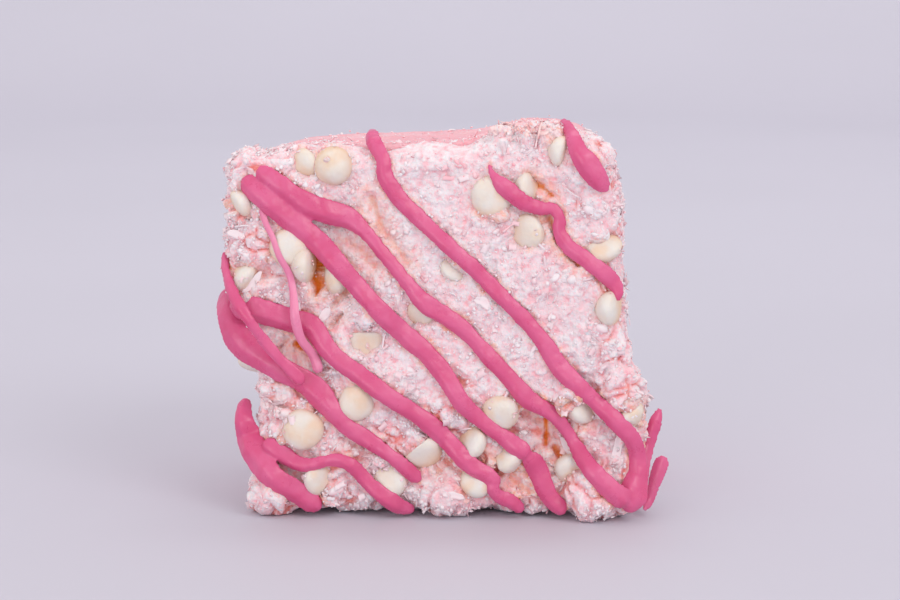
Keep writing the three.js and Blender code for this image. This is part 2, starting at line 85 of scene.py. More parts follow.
# Drizzled strands: [x, z, width, back] in mm on the face, back being how far behind it a point lies.
STRANDS: dict[str, list[tuple[float, ...]]] = {
    "drizzle_thick_diagonal": [
        (-23.6, 40.5, 2.8, 0.6), (-20.2, 37.7, 3.0), (-16.5, 34.7, 3.0), (-13.2, 31.8, 2.9),
        (-10.2, 28.4, 2.5), (-5.0, 22.9, 2.7), (-2.0, 20.3, 2.6), (0.6, 17.3, 2.5), (2.8, 14.0, 2.3),
        (5.7, 11.4, 2.1), (8.3, 9.5, 2.2), (10.6, 8.0, 2.5),
    ],
    "drizzle_thick_tail": [
        (10.2, 8.2, 2.3), (10.9, 7.2, 2.5), (11.8, 5.4, 2.6), (12.9, 2.9, 2.6), (15.0, 0.9, 2.0),
    ],
    "drizzle_middle_diagonal": [
        (-21.8, 41.7, 2.4, 0.2), (-18.7, 39.5, 2.6), (-16.1, 37.7, 3.0), (-13.2, 36.6, 3.2),
        (-10.9, 35.8, 2.7), (-8.7, 34.0, 1.9), (-4.3, 28.8, 1.9), (-2.0, 26.2, 2.3),
        (0.9, 24.3, 2.4), (3.5, 22.1, 2.2), (8.3, 16.9, 2.3), (10.6, 14.4, 2.4),
        (13.3, 12.8, 1.9), (15.0, 10.6, 1.9), (16.9, 7.7, 2.2), (19.1, 5.4, 2.6), (21.0, 3.6, 2.9),
        (22.4, 2.6, 3.2),
    ],
    "drizzle_upper_diagonal": [
        (-8.7, 46.0, 1.7, 3.2), (-8.2, 45.0, 2.0, 0.6), (-6.9, 42.9, 2.0), (-6.6, 41.0, 2.1),
        (-5.0, 38.4, 2.2), (-2.8, 36.2, 2.1), (3.5, 30.6, 2.1), (9.4, 24.7, 2.1),
        (12.0, 21.7, 2.1), (14.2, 18.4, 2.5), (16.9, 15.8, 2.3), (20.9, 12.1, 2.3),
        (22.8, 9.9, 2.3), (23.4, 7.4, 2.3, 0.1), (23.4, 5.2, 2.6, 0.2), (23.2, 3.2, 2.4, 0.3),
    ],
    "drizzle_right_tail": [
        (26.0, 12.9, 1.0, 3.4), (25.4, 11.2, 1.6, 2.6), (24.7, 9.0, 1.9, 1.6), (23.9, 6.6, 2.4, 0.7),
        (23.0, 4.2, 3.3, 0.2), (22.8, 2.2, 3.4), (23.0, 1.2, 2.6),
    ],
    "drizzle_right_spur": [
        (26.6, 6.9, 2.0, 4.6), (26.0, 5.4, 1.9, 4.0), (25.4, 3.6, 1.6, 3.4), (24.9, 1.8, 1.4, 2.8),
        (24.2, 0.9, 1.2, 1.6),
    ],
    "drizzle_lower_diagonal": [
        (-25.2, 25.4, 2.8, 1.0), (-22.4, 25.0, 3.2, 0.3), (-20.2, 24.4, 3.1), (-17.6, 23.6, 3.1), (-15.4, 22.9, 3.0),
        (-13.9, 21.0, 2.6), (-12.0, 19.1, 2.4), (-9.4, 17.3, 2.5), (-3.5, 13.2, 2.4),
        (-0.6, 11.0, 2.5), (2.0, 8.4, 2.4), (3.9, 6.6, 2.4), (5.6, 5.6, 2.2), (6.9, 4.3, 2.1),
    ],
    "drizzle_lower_stub": [(6.0, 4.6, 1.9), (6.7, 3.2, 1.7), (8.3, 2.3, 2.0), (9.8, 1.0, 1.6)],
    "drizzle_left_pool": [
        (-26.6, 26.4, 1.9, 3.6), (-26.0, 25.0, 3.2, 1.3), (-24.9, 22.6, 3.7, 0.3),
        (-22.8, 20.1, 3.9), (-20.2, 18.5, 3.2), (-17.6, 17.2, 3.0), (-15.0, 15.5, 3.2),
        (-12.8, 12.9, 2.7), (-11.0, 11.0, 2.4), (-8.0, 9.1, 2.1), (-5.0, 7.0, 2.0), (-2.5, 4.5, 2.1),
    ],
    "drizzle_left_loop": [
        (-26.2, 31.4, 1.0, 1.2), (-25.8, 29.4, 1.3, 0.2), (-24.4, 26.8, 1.6, -1.2),
        (-22.4, 24.0, 1.6, -2.6), (-20.6, 21.4, 1.6, -2.4), (-18.4, 18.9, 1.6, -2.0),
        (-16.2, 16.6, 1.7, -2.0),
    ],
    "drizzle_thread": [
        (-21.4, 37.2, 0.8, 0.3), (-20.8, 35.4, 0.75), (-19.9, 33.8, 0.7), (-19.1, 31.6, 0.7),
        (-18.0, 29.4, 0.8),
        (-17.4, 26.8, 1.0, -1.2), (-17.1, 24.2, 1.1, -2.4), (-16.5, 21.7, 1.1, -2.0),
        (-15.2, 19.5, 1.2, -0.6), (-14.5, 17.6, 1.3, -0.9),
    ],
    "drizzle_corner_pool": [
        (-23.9, 13.6, 1.6, 2.6), (-23.9, 11.6, 2.5, 1.0), (-23.1, 9.0, 3.4, 0.2),
        (-21.6, 6.9, 3.5), (-19.8, 5.0, 3.1), (-17.6, 3.5, 3.0), (-15.8, 2.1, 2.8), (-14.3, 1.2, 2.0),
    ],
    "drizzle_corner_branch": [
        (-21.2, 9.2, 2.2), (-18.7, 7.6, 2.3), (-16.5, 6.6, 2.0), (-13.9, 7.0, 1.7),
        (-12.4, 7.2, 1.9), (-10.6, 6.6, 2.0), (-8.7, 4.5, 2.0), (-6.5, 2.7, 2.3),
        (-4.7, 1.4, 2.1), (-3.2, 0.9, 1.2),
    ],
    "drizzle_top_drop": [
        (13.9, 47.3, 1.5, 2.2), (15.2, 46.0, 1.8, 0.4), (16.1, 44.0, 2.4), (17.2, 42.5, 3.2),
        (18.5, 40.7, 2.6), (19.5, 39.4, 1.4),
    ],
    "drizzle_top_wave": [
        (5.6, 42.6, 0.5), (6.1, 41.3, 1.0), (7.3, 40.0, 2.2), (8.4, 39.1, 2.3), (9.8, 38.0, 2.2), (11.7, 37.3, 1.8),
        (13.2, 37.2, 1.6), (13.9, 36.1, 1.6), (13.9, 34.6, 1.8), (15.0, 32.8, 2.0),
        (17.2, 31.3, 2.2), (19.4, 29.6, 2.2), (20.7, 28.0, 1.8, 0.3), (20.9, 26.5, 1.0, 0.5),
    ],
}


class ChipForm(Enum):
    """How a chocolate chip is shaped."""

    DROP = "drop"
    BUTTON = "button"
    BROKEN = "broken"


# White chocolate chips by node number: diameter in mm, tilt and turn in degrees, form.
CHIPS: dict[int, tuple[float, float, float, ChipForm]] = {
    1: (4.6, 25, 160, ChipForm.BUTTON),
    2: (3.8, 60, 60, ChipForm.DROP),
    3: (4.6, 165, 30, ChipForm.BUTTON),
    4: (4.4, 100, 90, ChipForm.DROP),
    5: (3.4, 110, 240, ChipForm.DROP),
    6: (3.6, 100, 120, ChipForm.DROP),
    7: (4.2, 100, 190, ChipForm.BROKEN),
    8: (4.4, 178, 0, ChipForm.BUTTON),
    9: (4.9, 174, 40, ChipForm.BUTTON),
    10: (4.5, 150, 150, ChipForm.BROKEN),
    11: (4.3, 160, 330, ChipForm.BUTTON),
    12: (4.0, 140, 90, ChipForm.DROP),
    13: (4.5, 165, 210, ChipForm.BUTTON),
    14: (4.2, 130, 300, ChipForm.DROP),
    15: (4.4, 110, 320, ChipForm.BROKEN),
    16: (4.2, 150, 20, ChipForm.BUTTON),
    17: (4.6, 178, 80, ChipForm.BROKEN),
    18: (3.8, 150, 200, ChipForm.DROP),
    19: (3.2, 130, 40, ChipForm.DROP),
    20: (4.9, 176, 100, ChipForm.BUTTON),
    21: (4.2, 150, 270, ChipForm.DROP),
    22: (3.8, 120, 80, ChipForm.BROKEN),
    23: (3.8, 100, 100, ChipForm.DROP),
    24: (4.2, 110, 90, ChipForm.DROP),
    25: (4.2, 130, 350, ChipForm.DROP),
    26: (4.2, 130, 60, ChipForm.DROP),
    27: (3.8, 160, 130, ChipForm.BUTTON),
    28: (4.0, 100, 330, ChipForm.DROP),
    29: (4.6, 100, 270, ChipForm.DROP),
}

# Crevices in the crust: [x, z, to x, to z, half width, depth] in mm, and how strongly painted orange shade fills
# them.
CREVICES: list[tuple[float, float, float, float, float, float, float]] = [
    (-14.4, 31.9, -14.9, 26.6, 0.40, 1.7, 1.0),
    (-10.6, 27.4, -12.9, 25.6, 0.30, 1.2, 0.6),
    (-12.0, 24.4, -13.4, 23.0, 0.25, 1.1, 0.6),
    (-23.4, 29.6, -20.9, 28.9, 0.45, 0.7, 0.5),
    (-17.3, 20.7, -15.6, 19.8, 0.60, 1.2, 1.0),
    (-20.0, 18.9, -18.6, 21.4, 0.40, 0.7, 0.5),
    (-8.4, 38.2, -7.2, 34.6, 1.20, 0.9, 0.62),
    (-6.8, 34.2, -4.0, 30.8, 0.80, 0.5, 0.58),
    (-11.0, 33.0, -7.6, 30.2, 1.20, 0.5, 0.50),
    (12.4, 13.2, 12.6, 9.0, 0.40, 0.9, 0.9),
    (10.2, 12.4, 12.8, 11.2, 0.90, 0.9, 0.5),
    (6.6, 7.4, 8.6, 5.6, 0.45, 1.0, 1.0),
    (8.4, 4.8, 10.6, 3.6, 0.80, 0.9, 0.6),
    (13.6, 8.6, 15.0, 5.8, 0.60, 1.1, 0.8),
    (16.1, 13.0, 17.2, 11.2, 0.35, 0.6, 0.6),
    (12.6, 36.2, 14.0, 33.6, 0.45, 1.0, 0.8),
    (14.0, 33.6, 16.2, 30.9, 0.50, 1.1, 1.0),
    (10.8, 40.8, 13.0, 38.6, 0.35, 0.8, 0.9),
    (-0.4, 5.6, 1.6, 7.4, 0.45, 0.7, 0.5),
    (-11.0, 9.0, -8.0, 8.4, 0.35, 0.5, 0.35),
    (-20.4, 13.6, -18.4, 13.2, 0.35, 0.5, 0.4),
]

# Lumps of the crust: [x, z, radius, height] in mm.
LUMPS: list[tuple[float, float, float, float]] = [
    (17.6, 3.4, 3.4, 1.7),
    (14.9, 14.7, 2.0, 1.5),
    (17.8, 9.6, 2.2, 1.0),
    (4.8, 25.8, 2.2, 0.5),
    (-8.2, 25.2, 2.6, 0.9),
    (-20.4, 26.4, 2.2, 0.6),
    (-22.0, 32.3, 2.4, 0.9),
    (-23.8, 37.3, 2.0, 0.6),
    (-19.4, 15.0, 2.6, 0.9),
    (-20.3, 1.8, 2.8, 1.2),
    (-6.6, 6.9, 2.0, 0.6),
    (0.9, 2.2, 3.2, 1.0),
    (21.2, 15.6, 3.0, 1.0),
    (18.2, 21.0, 3.4, 0.7),
    (16.4, 42.0, 2.6, 0.7),
    (3.8, 33.6, 4.5, 0.6),
    (9.6, 29.0, 4.0, 0.7),
    (-12.4, 19.2, 2.4, 0.6),
    (-5.4, 16.4, 2.6, 0.8),
    (-1.0, 43.0, 2.6, 0.4),
    (7.2, 46.1, 1.6, 1.0),
    (9.8, 46.2, 1.8, 1.5),
    (12.4, 46.4, 1.8, 1.2),
    (-13.4, 3.4, 2.2, 0.8),
    (0.4, 13.8, 2.8, 0.7),
    (-11.6, 7.4, 2.0, 0.7),
]

# The middle of the tuft of coconut on the top edge: [x, z] in mm.
TUFT: tuple[float, float] = (9.0, 46.4)

# Broad curled flakes: [x, z, length, width] in mm, and how far each is turned in degrees.
BROAD_FLAKES: list[tuple[float, float, float, float, float]] = [
    (15.1, 8.1, 3.8, 0.9, 28),
    (20.8, 8.0, 4.8, 1.3, -12),
    (-22.4, 28.2, 3.4, 1.0, -40),
    (-17.6, 25.5, 3.0, 1.3, 18),
    (-14.0, 24.4, 2.4, 1.1, -30),
    (-4.6, 5.6, 2.4, 0.9, 60),
    (-1.2, 3.6, 2.4, 0.8, 110),
    (1.6, 3.2, 2.6, 0.9, 80),
    (18.6, 12.4, 2.0, 1.0, -20),
    (-24.4, 33.8, 2.2, 1.0, 70),
    (11.0, 45.4, 2.2, 0.7, 80),
    (8.6, 45.2, 2.0, 0.7, 120),
    (13.2, 45.8, 2.0, 0.8, 60),
    (4.9, 26.2, 2.0, 1.3, 60),
]


# ---------------------------------------------------------------------------------------------
# Materials
# ---------------------------------------------------------------------------------------------


class Wire:
    """One shader value that takes part in arithmetic by adding Math nodes."""

    def __init__(self, shader: "Shader", socket: bpy.types.NodeSocket) -> None:
        """Keeps the socket and the shader that it belongs to.

        Args:
            shader: The shader that new nodes are added to.
            socket: The output socket to wrap.
        """
        self.shader = shader
        self.socket = socket

    def _math(self, operation: str, left: "Wire | float", right: "Wire | float") -> "Wire":
        """Adds one Math node.

        Args:
            operation: The node's operation.
            left: Its first value.
            right: Its second value.

        Returns:
            The node's result.
        """
        return self.shader.node("ShaderNodeMath", {"operation": operation}, {0: left, 1: right})

    def __add__(self, other: "Wire | float") -> "Wire":
        """Adds a value."""
        return self._math("ADD", self, other)

    def __radd__(self, other: float) -> "Wire":
        """Adds this to a number."""
        return self._math("ADD", other, self)

    def __sub__(self, other: "Wire | float") -> "Wire":
        """Takes a value away."""
        return self._math("SUBTRACT", self, other)

    def __rsub__(self, other: float) -> "Wire":
        """Takes this away from a number."""
        return self._math("SUBTRACT", other, self)

    def __mul__(self, other: "Wire | float") -> "Wire":
        """Multiplies by a value."""
        return self._math("MULTIPLY", self, other)

    def __rmul__(self, other: float) -> "Wire":
        """Multiplies a number by this."""
        return self._math("MULTIPLY", other, self)

    def peak(self, other: "Wire | float") -> "Wire":
        """Keeps the larger of this and another value."""
        return self._math("MAXIMUM", self, other)


class Shader:
    """A Principled material whose node tree is written as expressions."""

    def __init__(self, name: str, constants: dict[str, object]) -> None:
        """Makes the material.

        Args:
            name: The material's name.
            constants: Values of the Principled node's sockets that are the same all over.
        """
        self.material = bpy.data.materials.new(name)
        self.material.use_nodes = True
        self.tree = self.material.node_tree
        self.surface = self.tree.nodes["Principled BSDF"]
        for socket, value in constants.items():
            self.surface.inputs[socket].default_value = value

    def node(
        self, kind: str, settings: dict[str, object], sockets: dict[int | str, object], out: int | str = 0
    ) -> Wire:
        """Adds one node.

        Args:
            kind: The node's type.
            settings: Its own properties, and "stops" for a colour ramp's position and colour pairs.
            sockets: Values or wires for its input sockets, by index or name.
            out: The output socket to return.

        Returns:
            The chosen output.
        """
        made = self.tree.nodes.new(kind)
        for name, value in settings.items():
            if name == "stops":
                ramp = made.color_ramp
                while len(ramp.elements) < len(value):
                    ramp.elements.new(1.0)
                for element, (position, colour) in zip(ramp.elements, value):
                    element.position = position
                    element.color = (*colour, 1.0)
            else:
                setattr(made, name, value)
        for key, value in sockets.items():
            if isinstance(value, Wire):
                self.tree.links.new(value.socket, made.inputs[key])
            elif isinstance(value, tuple) and made.inputs[key].type == "RGBA":
                made.inputs[key].default_value = (*value, 1.0)
            else:
                made.inputs[key].default_value = value
        return Wire(self, made.outputs[out])

    def place(self) -> Wire:
        """Gives the point's place in the frame, in metres."""
        return self.node("ShaderNodeTexCoord", {}, {}, "Object")

    def axis(self, index: int) -> Wire:
        """Gives one coordinate of the point's place, in metres: 0 is X, 1 is Y and 2 is Z."""
        return self.node("ShaderNodeSeparateXYZ", {}, {0: self.place()}, index)

    def fog(self, size: float, detail: float = 3.0, stretch: tuple[float, float, float] = (1, 1, 1)) -> Wire:
        """Gives soft noise.

        Args:
            size: How far apart its lumps are, in metres.
            detail: How many finer layers it has.
            stretch: Scale of the pattern along each axis.

        Returns:
            A value around 0.5.
        """
        spot = self.node("ShaderNodeMapping", {}, {"Vector": self.place(), "Scale": stretch})
        sockets = {"Vector": spot, "Scale": 1 / size, "Detail": detail}
        return self.node("ShaderNodeTexNoise", {}, sockets)

    def cells(self, size: float) -> Wire:
        """Gives the distance to the nearest of many scattered points, where size is their spacing."""
        return self.node("ShaderNodeTexVoronoi", {}, {"Vector": self.place(), "Scale": 1 / size})

    def band(self, value: Wire, low: float, high: float, start: float = 0.0, end: float = 1.0) -> Wire:
        """Gives a smooth step.

        Args:
            value: What is compared.
            low: Where the step begins.
            high: Where it ends.
            start: The result below the step.
            end: The result above it.

        Returns:
            The result between start and end.
        """
        sockets = {0: value, 1: low, 2: high, 3: start, 4: end}
        return self.node("ShaderNodeMapRange", {"interpolation_type": "SMOOTHSTEP"}, sockets)

    def attribute(self, name: str) -> Wire:
        """Gives a number that the mesh keeps on its points."""
        return self.node("ShaderNodeAttribute", {"attribute_name": name}, {}, "Fac")

    def mix(self, factor: "Wire | float", low: "Wire | tuple", high: "Wire | tuple") -> Wire:
        """Mixes two colours.

        Args:
            factor: 0 for the first colour, 1 for the second.
            low: The first colour.
            high: The second colour.

        Returns:
            The mixed colour.
        """
        return self.node("ShaderNodeMix", {"data_type": "RGBA"}, {0: factor, 6: low, 7: high}, 2)

    def paint(self, socket: str, value: Wire) -> None:
        """Links a value to one of the Principled node's sockets."""
        self.tree.links.new(value.socket, self.surface.inputs[socket])

    def relief(self, height: Wire, depth: float) -> None:
        """Shades a fine relief.

        Args:
            height: The relief, around 0 to 1.
            depth: What 1 stands for, in metres.
        """
        bump = self.node("ShaderNodeBump", {}, {"Height": height, "Distance": depth}, "Normal")
        self.paint("Normal", bump)


@dataclass(frozen=True)
class FoamFinish:
    """Pink marshmallow foam with wavy white bands, pores with painted shade in them, and a sugary grain."""

    pink: tuple[float, float, float] = (0.88, 0.47, 0.53)
    deep_pink: tuple[float, float, float] = (0.80, 0.30, 0.35)
    white: tuple[float, float, float] = (0.86, 0.79, 0.79)
    # Pore colour: the sealed bubbles' own reddish tone, and painted shade in the open pits.
    pore: tuple[float, float, float] = (0.70, 0.24, 0.26)

    def make(self, back: float) -> bpy.types.Material:
        """Makes the material.

        Args:
            back: Where the moulded base is along Y, in metres.

        Returns:
            The material.
        """
        shader = Shader("marshmallow_foam", {
            "Roughness": 0.8,
            "Subsurface Weight": 0.35,
            "Subsurface Radius": (1.0, 0.45, 0.38),
            "Subsurface Scale": 0.0012,
            "Specular IOR Level": 0.35,
        })
        across = shader.axis(0)
        height = shader.axis(2)
        above_base = (back - shader.axis(1)) + height * 0.045
        sway = (shader.fog(0.030, 1.0) - 0.5) * 0.011 + (shader.fog(0.009, 2.0) - 0.5) * 0.0035
        rise = shader.band(across, -0.012, 0.022, 0.0, 0.0055) + sway
        depth = above_base - rise
        wide = shader.band(depth, 0.0125, 0.0140) * shader.band(depth, 0.0182, 0.0200, 1.0, 0.0)
        thin = shader.band(depth, 0.0068, 0.0075) * shader.band(depth, 0.0085, 0.0094, 1.0, 0.0)
        faint = shader.band(depth, 0.0025, 0.0036) * shader.band(depth, 0.0042, 0.0052, 1.0, 0.0)
        cloud = shader.band(shader.fog(0.0035, 3.0), 0.40, 0.62)
        fade = shader.band(shader.fog(0.016, 1.0), 0.38, 0.52, 0.35, 1.0)
        banded = (wide * (cloud * 0.18 + 0.82)).peak(thin * fade * 0.85).peak(faint * fade * 0.35)
        white = banded * shader.band(height, 0.0405, 0.0440, 1.0, 0.12)
        mottle = shader.band(shader.fog(0.0011, 3.0), 0.46, 0.72)
        blush = shader.band(shader.fog(0.006, 2.0), 0.40, 0.68)
        pink = shader.mix(mottle * 0.55 + blush * 0.18, self.pink, self.deep_pink)
        body = shader.mix(white, pink, self.white)
        sugar = shader.band(shader.cells(0.0007), 0.30, 0.12) * shader.band(shader.fog(0.003), 0.42, 0.6)
        grained = shader.mix(sugar * 0.45, body, (0.95, 0.84, 0.85))
        # Pores: the bubbles' own tone, plus painted shade in the open pits.
        pores = shader.attribute("pore")
        shader.paint("Base Color", shader.mix(pores * (1 - white * 0.6), grained, self.pore))
        shader.relief(shader.fog(0.0006, 4.0) + shader.cells(0.00045) * 0.5, 0.00022)
        return shader.material


@dataclass(frozen=True)
class CoconutFinish:
    """Pale coconut powder with its own pink mottle, painted pink shade between its grains and in its recesses, and
    painted orange and red shade in its crevices and veins and beside the chips and the drizzle.
    """

    white: tuple[float, float, float] = (0.87, 0.83, 0.86)
    # Pink: the coconut's own mottle, and painted shade in its recesses and under its loose pieces.
    pink: tuple[float, float, float] = (0.96, 0.48, 0.54)
    # Warm painted shade beside the chips and the drizzle and round the crevices; the loose pieces also use it for
    # the tuft's own orange tone.
    warm: tuple[float, float, float] = (0.97, 0.45, 0.32)
    # Painted orange shade deep in the crevices.
    crack: tuple[float, float, float] = (0.86, 0.25, 0.04)
    # Painted red shade in the veins between clumps.
    vein: tuple[float, float, float] = (0.88, 0.20, 0.15)

    def core(self) -> bpy.types.Material:
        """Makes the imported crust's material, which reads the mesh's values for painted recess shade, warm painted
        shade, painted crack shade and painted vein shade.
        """
        shader = Shader("coconut_core", {
            "Roughness": 0.9,
            "Subsurface Weight": 0.5,
            "Subsurface Radius": (1.0, 0.55, 0.50),
            "Subsurface Scale": 0.0008,
            "Specular IOR Level": 0.1,
        })
        patches = shader.band(shader.fog(0.0060, 2.0), 0.42, 0.66)
        mottle = shader.band(shader.fog(0.0010, 4.0), 0.50, 0.64)
        powder = shader.cells(0.0006) + (shader.fog(0.0005, 4.0) - 0.5) * 1.1
        gap_shade = shader.band(powder, 0.45, 0.95)
        # Pink: the coconut's own patches and mottle, plus painted pink shade in recesses and in the gaps between
        # grains.
        share = shader.attribute("recess") * 0.5 + patches * 0.16 + gap_shade * 0.22 + mottle * 0.38 + 0.02
        tint = shader.mix(share, self.white, self.pink)
        speck = shader.band(shader.fog(0.0007, 3.0), 0.46, 0.62)
        # Warm painted shade, broken into specks.
        warmth = shader.attribute("warmth")
        warm_shaded = shader.mix(warmth * (speck * 0.5 + 0.6), tint, self.warm)
        vein_shaded = shader.mix(shader.attribute("vein") * 0.8, warm_shaded, self.vein)
        # Painted orange shade in the crevices, and in specks of the warm painted shade.
        orange_shade = shader.attribute("crack").peak(warmth * speck * 0.4)
        shader.paint("Base Color", shader.mix(orange_shade, vein_shaded, self.crack))
        shader.relief(1 - powder, 0.00022)
        return shader.material

    def pieces(self, name: str) -> bpy.types.Material:
        """Makes the loose pieces' material, which reads each piece's tint, its own pink with painted pink shade, and
        its warm colour, its own orange or painted shade.

        Args:
            name: The material's name.

        Returns:
            The material.
        """
        shader = Shader(name, {
            "Roughness": 0.9,
            "Specular IOR Level": 0.1,
        })
        tint = shader.mix(shader.attribute("tint"), self.white, self.pink)
        shader.paint("Base Color", shader.mix(shader.attribute("warmth"), tint, self.warm))
        return shader.material


@dataclass(frozen=True)
class WhiteChocolateFinish:
    """Satin ivory chocolate with painted golden shade where it sinks into the crust."""

    ivory: tuple[float, float, float] = (0.79, 0.765, 0.725)
    cream: tuple[float, float, float] = (0.79, 0.71, 0.62)
    # Painted golden shade where a chip sinks into the crust or meets its neighbours.
    golden_shade: tuple[float, float, float] = (0.82, 0.52, 0.30)

    def make(self) -> bpy.types.Material:
        """Makes the material, which reads the chip's sunk values: how much painted golden shade each point takes."""
        shader = Shader("white_chocolate", {
            "Roughness": 0.4,
            "Subsurface Weight": 0.2,
            "Subsurface Radius": (1.0, 0.75, 0.5),
            "Subsurface Scale": 0.0005,
            "Specular IOR Level": 0.45,
        })
        cloud = shader.band(shader.fog(0.0022, 3.0), 0.35, 0.68)
        body = shader.mix(cloud * 0.7, self.ivory, self.cream)
        shader.paint("Base Color", shader.mix(shader.attribute("sunk"), body, self.golden_shade))
        shader.paint("Roughness", shader.band(shader.fog(0.0009, 3.0), 0.35, 0.65, 0.32, 0.52))
        shader.relief(shader.fog(0.0007, 3.0), 0.00009)
        return shader.material


@dataclass(frozen=True)
class PinkChocolateFinish:
    """Satin pink chocolate with a slow change of shade, faint flow lines and painted light on its thin thread."""

    pink: tuple[float, float, float] = (0.67, 0.084, 0.230)
    pale: tuple[float, float, float] = (0.73, 0.140, 0.310)
    deep: tuple[float, float, float] = (0.64, 0.044, 0.165)
    # Paler colour on the thin thread: painted light, for the light through it and its highlight.
    thin: tuple[float, float, float] = (0.80, 0.24, 0.41)

    def make(self) -> bpy.types.Material:
        """Makes the material, with painted light that makes it paler where the drizzle's thin values are high."""
        shader = Shader("pink_chocolate", {
            "Roughness": 0.32,
            "Subsurface Weight": 0.15,
            "Subsurface Radius": (1.0, 0.5, 0.6),
            "Subsurface Scale": 0.0005,
            "Specular IOR Level": 0.5,
            "Coat Weight": 0.12,
            "Coat Roughness": 0.25,
        })
        slow = shader.band(shader.fog(0.0045, 2.0), 0.36, 0.64)
        body = shader.mix(slow * 0.6, self.pink, self.pale)
        streak = shader.band(shader.fog(0.0016, 2.0, (1.0, 1.0, 0.6)), 0.52, 0.74)
        flowed = shader.mix(streak * 0.35, body, self.deep)
        shader.paint("Base Color", shader.mix(shader.attribute("thin"), flowed, self.thin))
        shader.paint("Roughness", shader.band(shader.fog(0.002, 3.0), 0.3, 0.7, 0.26, 0.40))
        shader.relief(shader.fog(0.0012, 3.0), 0.00012)
        return shader.material


@dataclass(frozen=True)
class TableFinish:
    """A plain pale table top that runs up into the backdrop."""

    shade: tuple[float, float, float] = (0.605, 0.595, 0.675)

    def make(self) -> bpy.types.Material:
        """Makes the material."""
        shader = Shader("pale_table", {"Roughness": 0.6, "Specular IOR Level": 0.25})
        soft = shader.band(shader.fog(0.12, 1.0), 0.3, 0.7)
        darker = tuple(part * 0.98 for part in self.shade)
        shader.paint("Base Color", shader.mix(soft, self.shade, darker))
        return shader.material


# ---------------------------------------------------------------------------------------------
# Mesh work
# ---------------------------------------------------------------------------------------------


def pick(piece: bpy.types.Object) -> None:
    """Makes a piece the only one selected, and the active one."""
    bpy.ops.object.select_all(action="DESELECT")
    piece.select_set(True)
    bpy.context.view_layer.objects.active = piece


def modify(piece: bpy.types.Object, kind: str, **settings: object) -> None:
    """Adds a modifier and applies it.

    Args:
        piece: The object to change.
        kind: The modifier's type.
        **settings: The modifier's own properties.
    """
    pick(piece)
    modifier = piece.modifiers.new(kind.title(), kind)
    for name, value in settings.items():
        setattr(modifier, name, value)
    bpy.ops.object.modifier_apply(modifier=modifier.name)


def shade_smooth(piece: bpy.types.Object) -> None:
    """Shades a piece smooth all over."""
    pick(piece)
    bpy.ops.object.shade_smooth()


def copy_of(node: str, name: str) -> bpy.types.Object:
    """Copies a CAD node's solid into a new piece with its doubled points merged.

    Args:
        node: The CAD node.
        name: The new piece's name.

    Returns:
        The new piece.
    """
    source = frame_nodes[node]
    piece = bpy.data.objects.new(name, source.data.copy())
    bpy.context.scene.collection.objects.link(piece)
    piece.data.materials.clear()
    pick(piece)
    bpy.ops.object.mode_set(mode="EDIT")
    bpy.ops.mesh.select_all(action="SELECT")
    bpy.ops.mesh.remove_doubles(threshold=1e-6)
    bpy.ops.object.mode_set(mode="OBJECT")
    return piece


def join(pieces: list[bpy.types.Object]) -> bpy.types.Object:
    """Joins pieces into the first of them."""
    pick(pieces[0])
    for piece in pieces:
        piece.select_set(True)
    bpy.ops.object.join()
    return pieces[0]


def points_of(piece: bpy.types.Object) -> np.ndarray:
    """Gives a mesh's points as rows of X, Y, Z."""
    flat = np.empty(len(piece.data.vertices) * 3)
    piece.data.vertices.foreach_get("co", flat)
    return flat.reshape(-1, 3)


def normals_of(piece: bpy.types.Object) -> np.ndarray:
    """Gives a mesh's point normals as rows of X, Y, Z."""
    flat = np.empty(len(piece.data.vertices) * 3)
    piece.data.vertices.foreach_get("normal", flat)
    return flat.reshape(-1, 3)


def move_points(piece: bpy.types.Object, points: np.ndarray) -> None:
    """Puts a mesh's points at new places."""
    piece.data.vertices.foreach_set("co", np.ascontiguousarray(points, float).ravel())
    piece.data.update()


def keep_values(piece: bpy.types.Object, name: str, values: np.ndarray) -> None:
    """Keeps one number for each point of a mesh, for its material to read."""
    attribute = piece.data.attributes.new(name, "FLOAT", "POINT")
    attribute.data.foreach_set("value", np.asarray(values, np.float32))


def noise_at(points: np.ndarray, size: float, octaves: int, shift: float) -> np.ndarray:
    """Gives fractal noise at points.

    Args:
        points: Rows of X, Y, Z in metres.
        size: How far apart its lumps are, in metres.
        octaves: How many layers it has.
        shift: Moves the pattern, so that two layers differ.

    Returns:
        One value for each point, around -1 to 1.
    """
    scaled = points / size + shift
    return np.array([noise.fractal(Vector(p), 1.0, 2.0, octaves) for p in scaled])


def cells_at(points: np.ndarray, size: float, shift: float) -> np.ndarray:
    """Gives how near each point is to the border between two cells of a cellular pattern.

    Args:
        points: Rows of X, Y, Z in metres.
        size: How large the cells are, in metres.
        shift: Moves the pattern.

    Returns:
        One value for each point: 0 on a border, up to about 1 in a cell's middle.
    """
    scaled = points / size + shift
    nearest = [noise.voronoi(Vector(p))[0] for p in scaled]
    return np.array([distances[1] - distances[0] for distances in nearest])


def noise_shift(points: np.ndarray, size: float, reach: float) -> np.ndarray:
    """Gives a noisy shift of points, which makes a cellular pattern less regular.

    Args:
        points: Rows of X, Y, Z in metres.
        size: How far apart the noise's lumps are, in metres.
        reach: The largest shift, in metres.

    Returns:
        Rows of shifts along X, Y and Z, in metres.
    """
    return np.stack([noise_at(points, size, 1, shift) for shift in (21.0, 34.0, 47.0)], 1) * reach


def smooth_step(values: np.ndarray, low: float, high: float) -> np.ndarray:
    """Gives 0 below low, 1 above high and a smooth step between."""
    share = np.clip((values - low) / (high - low), 0, 1)
    return share * share * (3 - 2 * share)


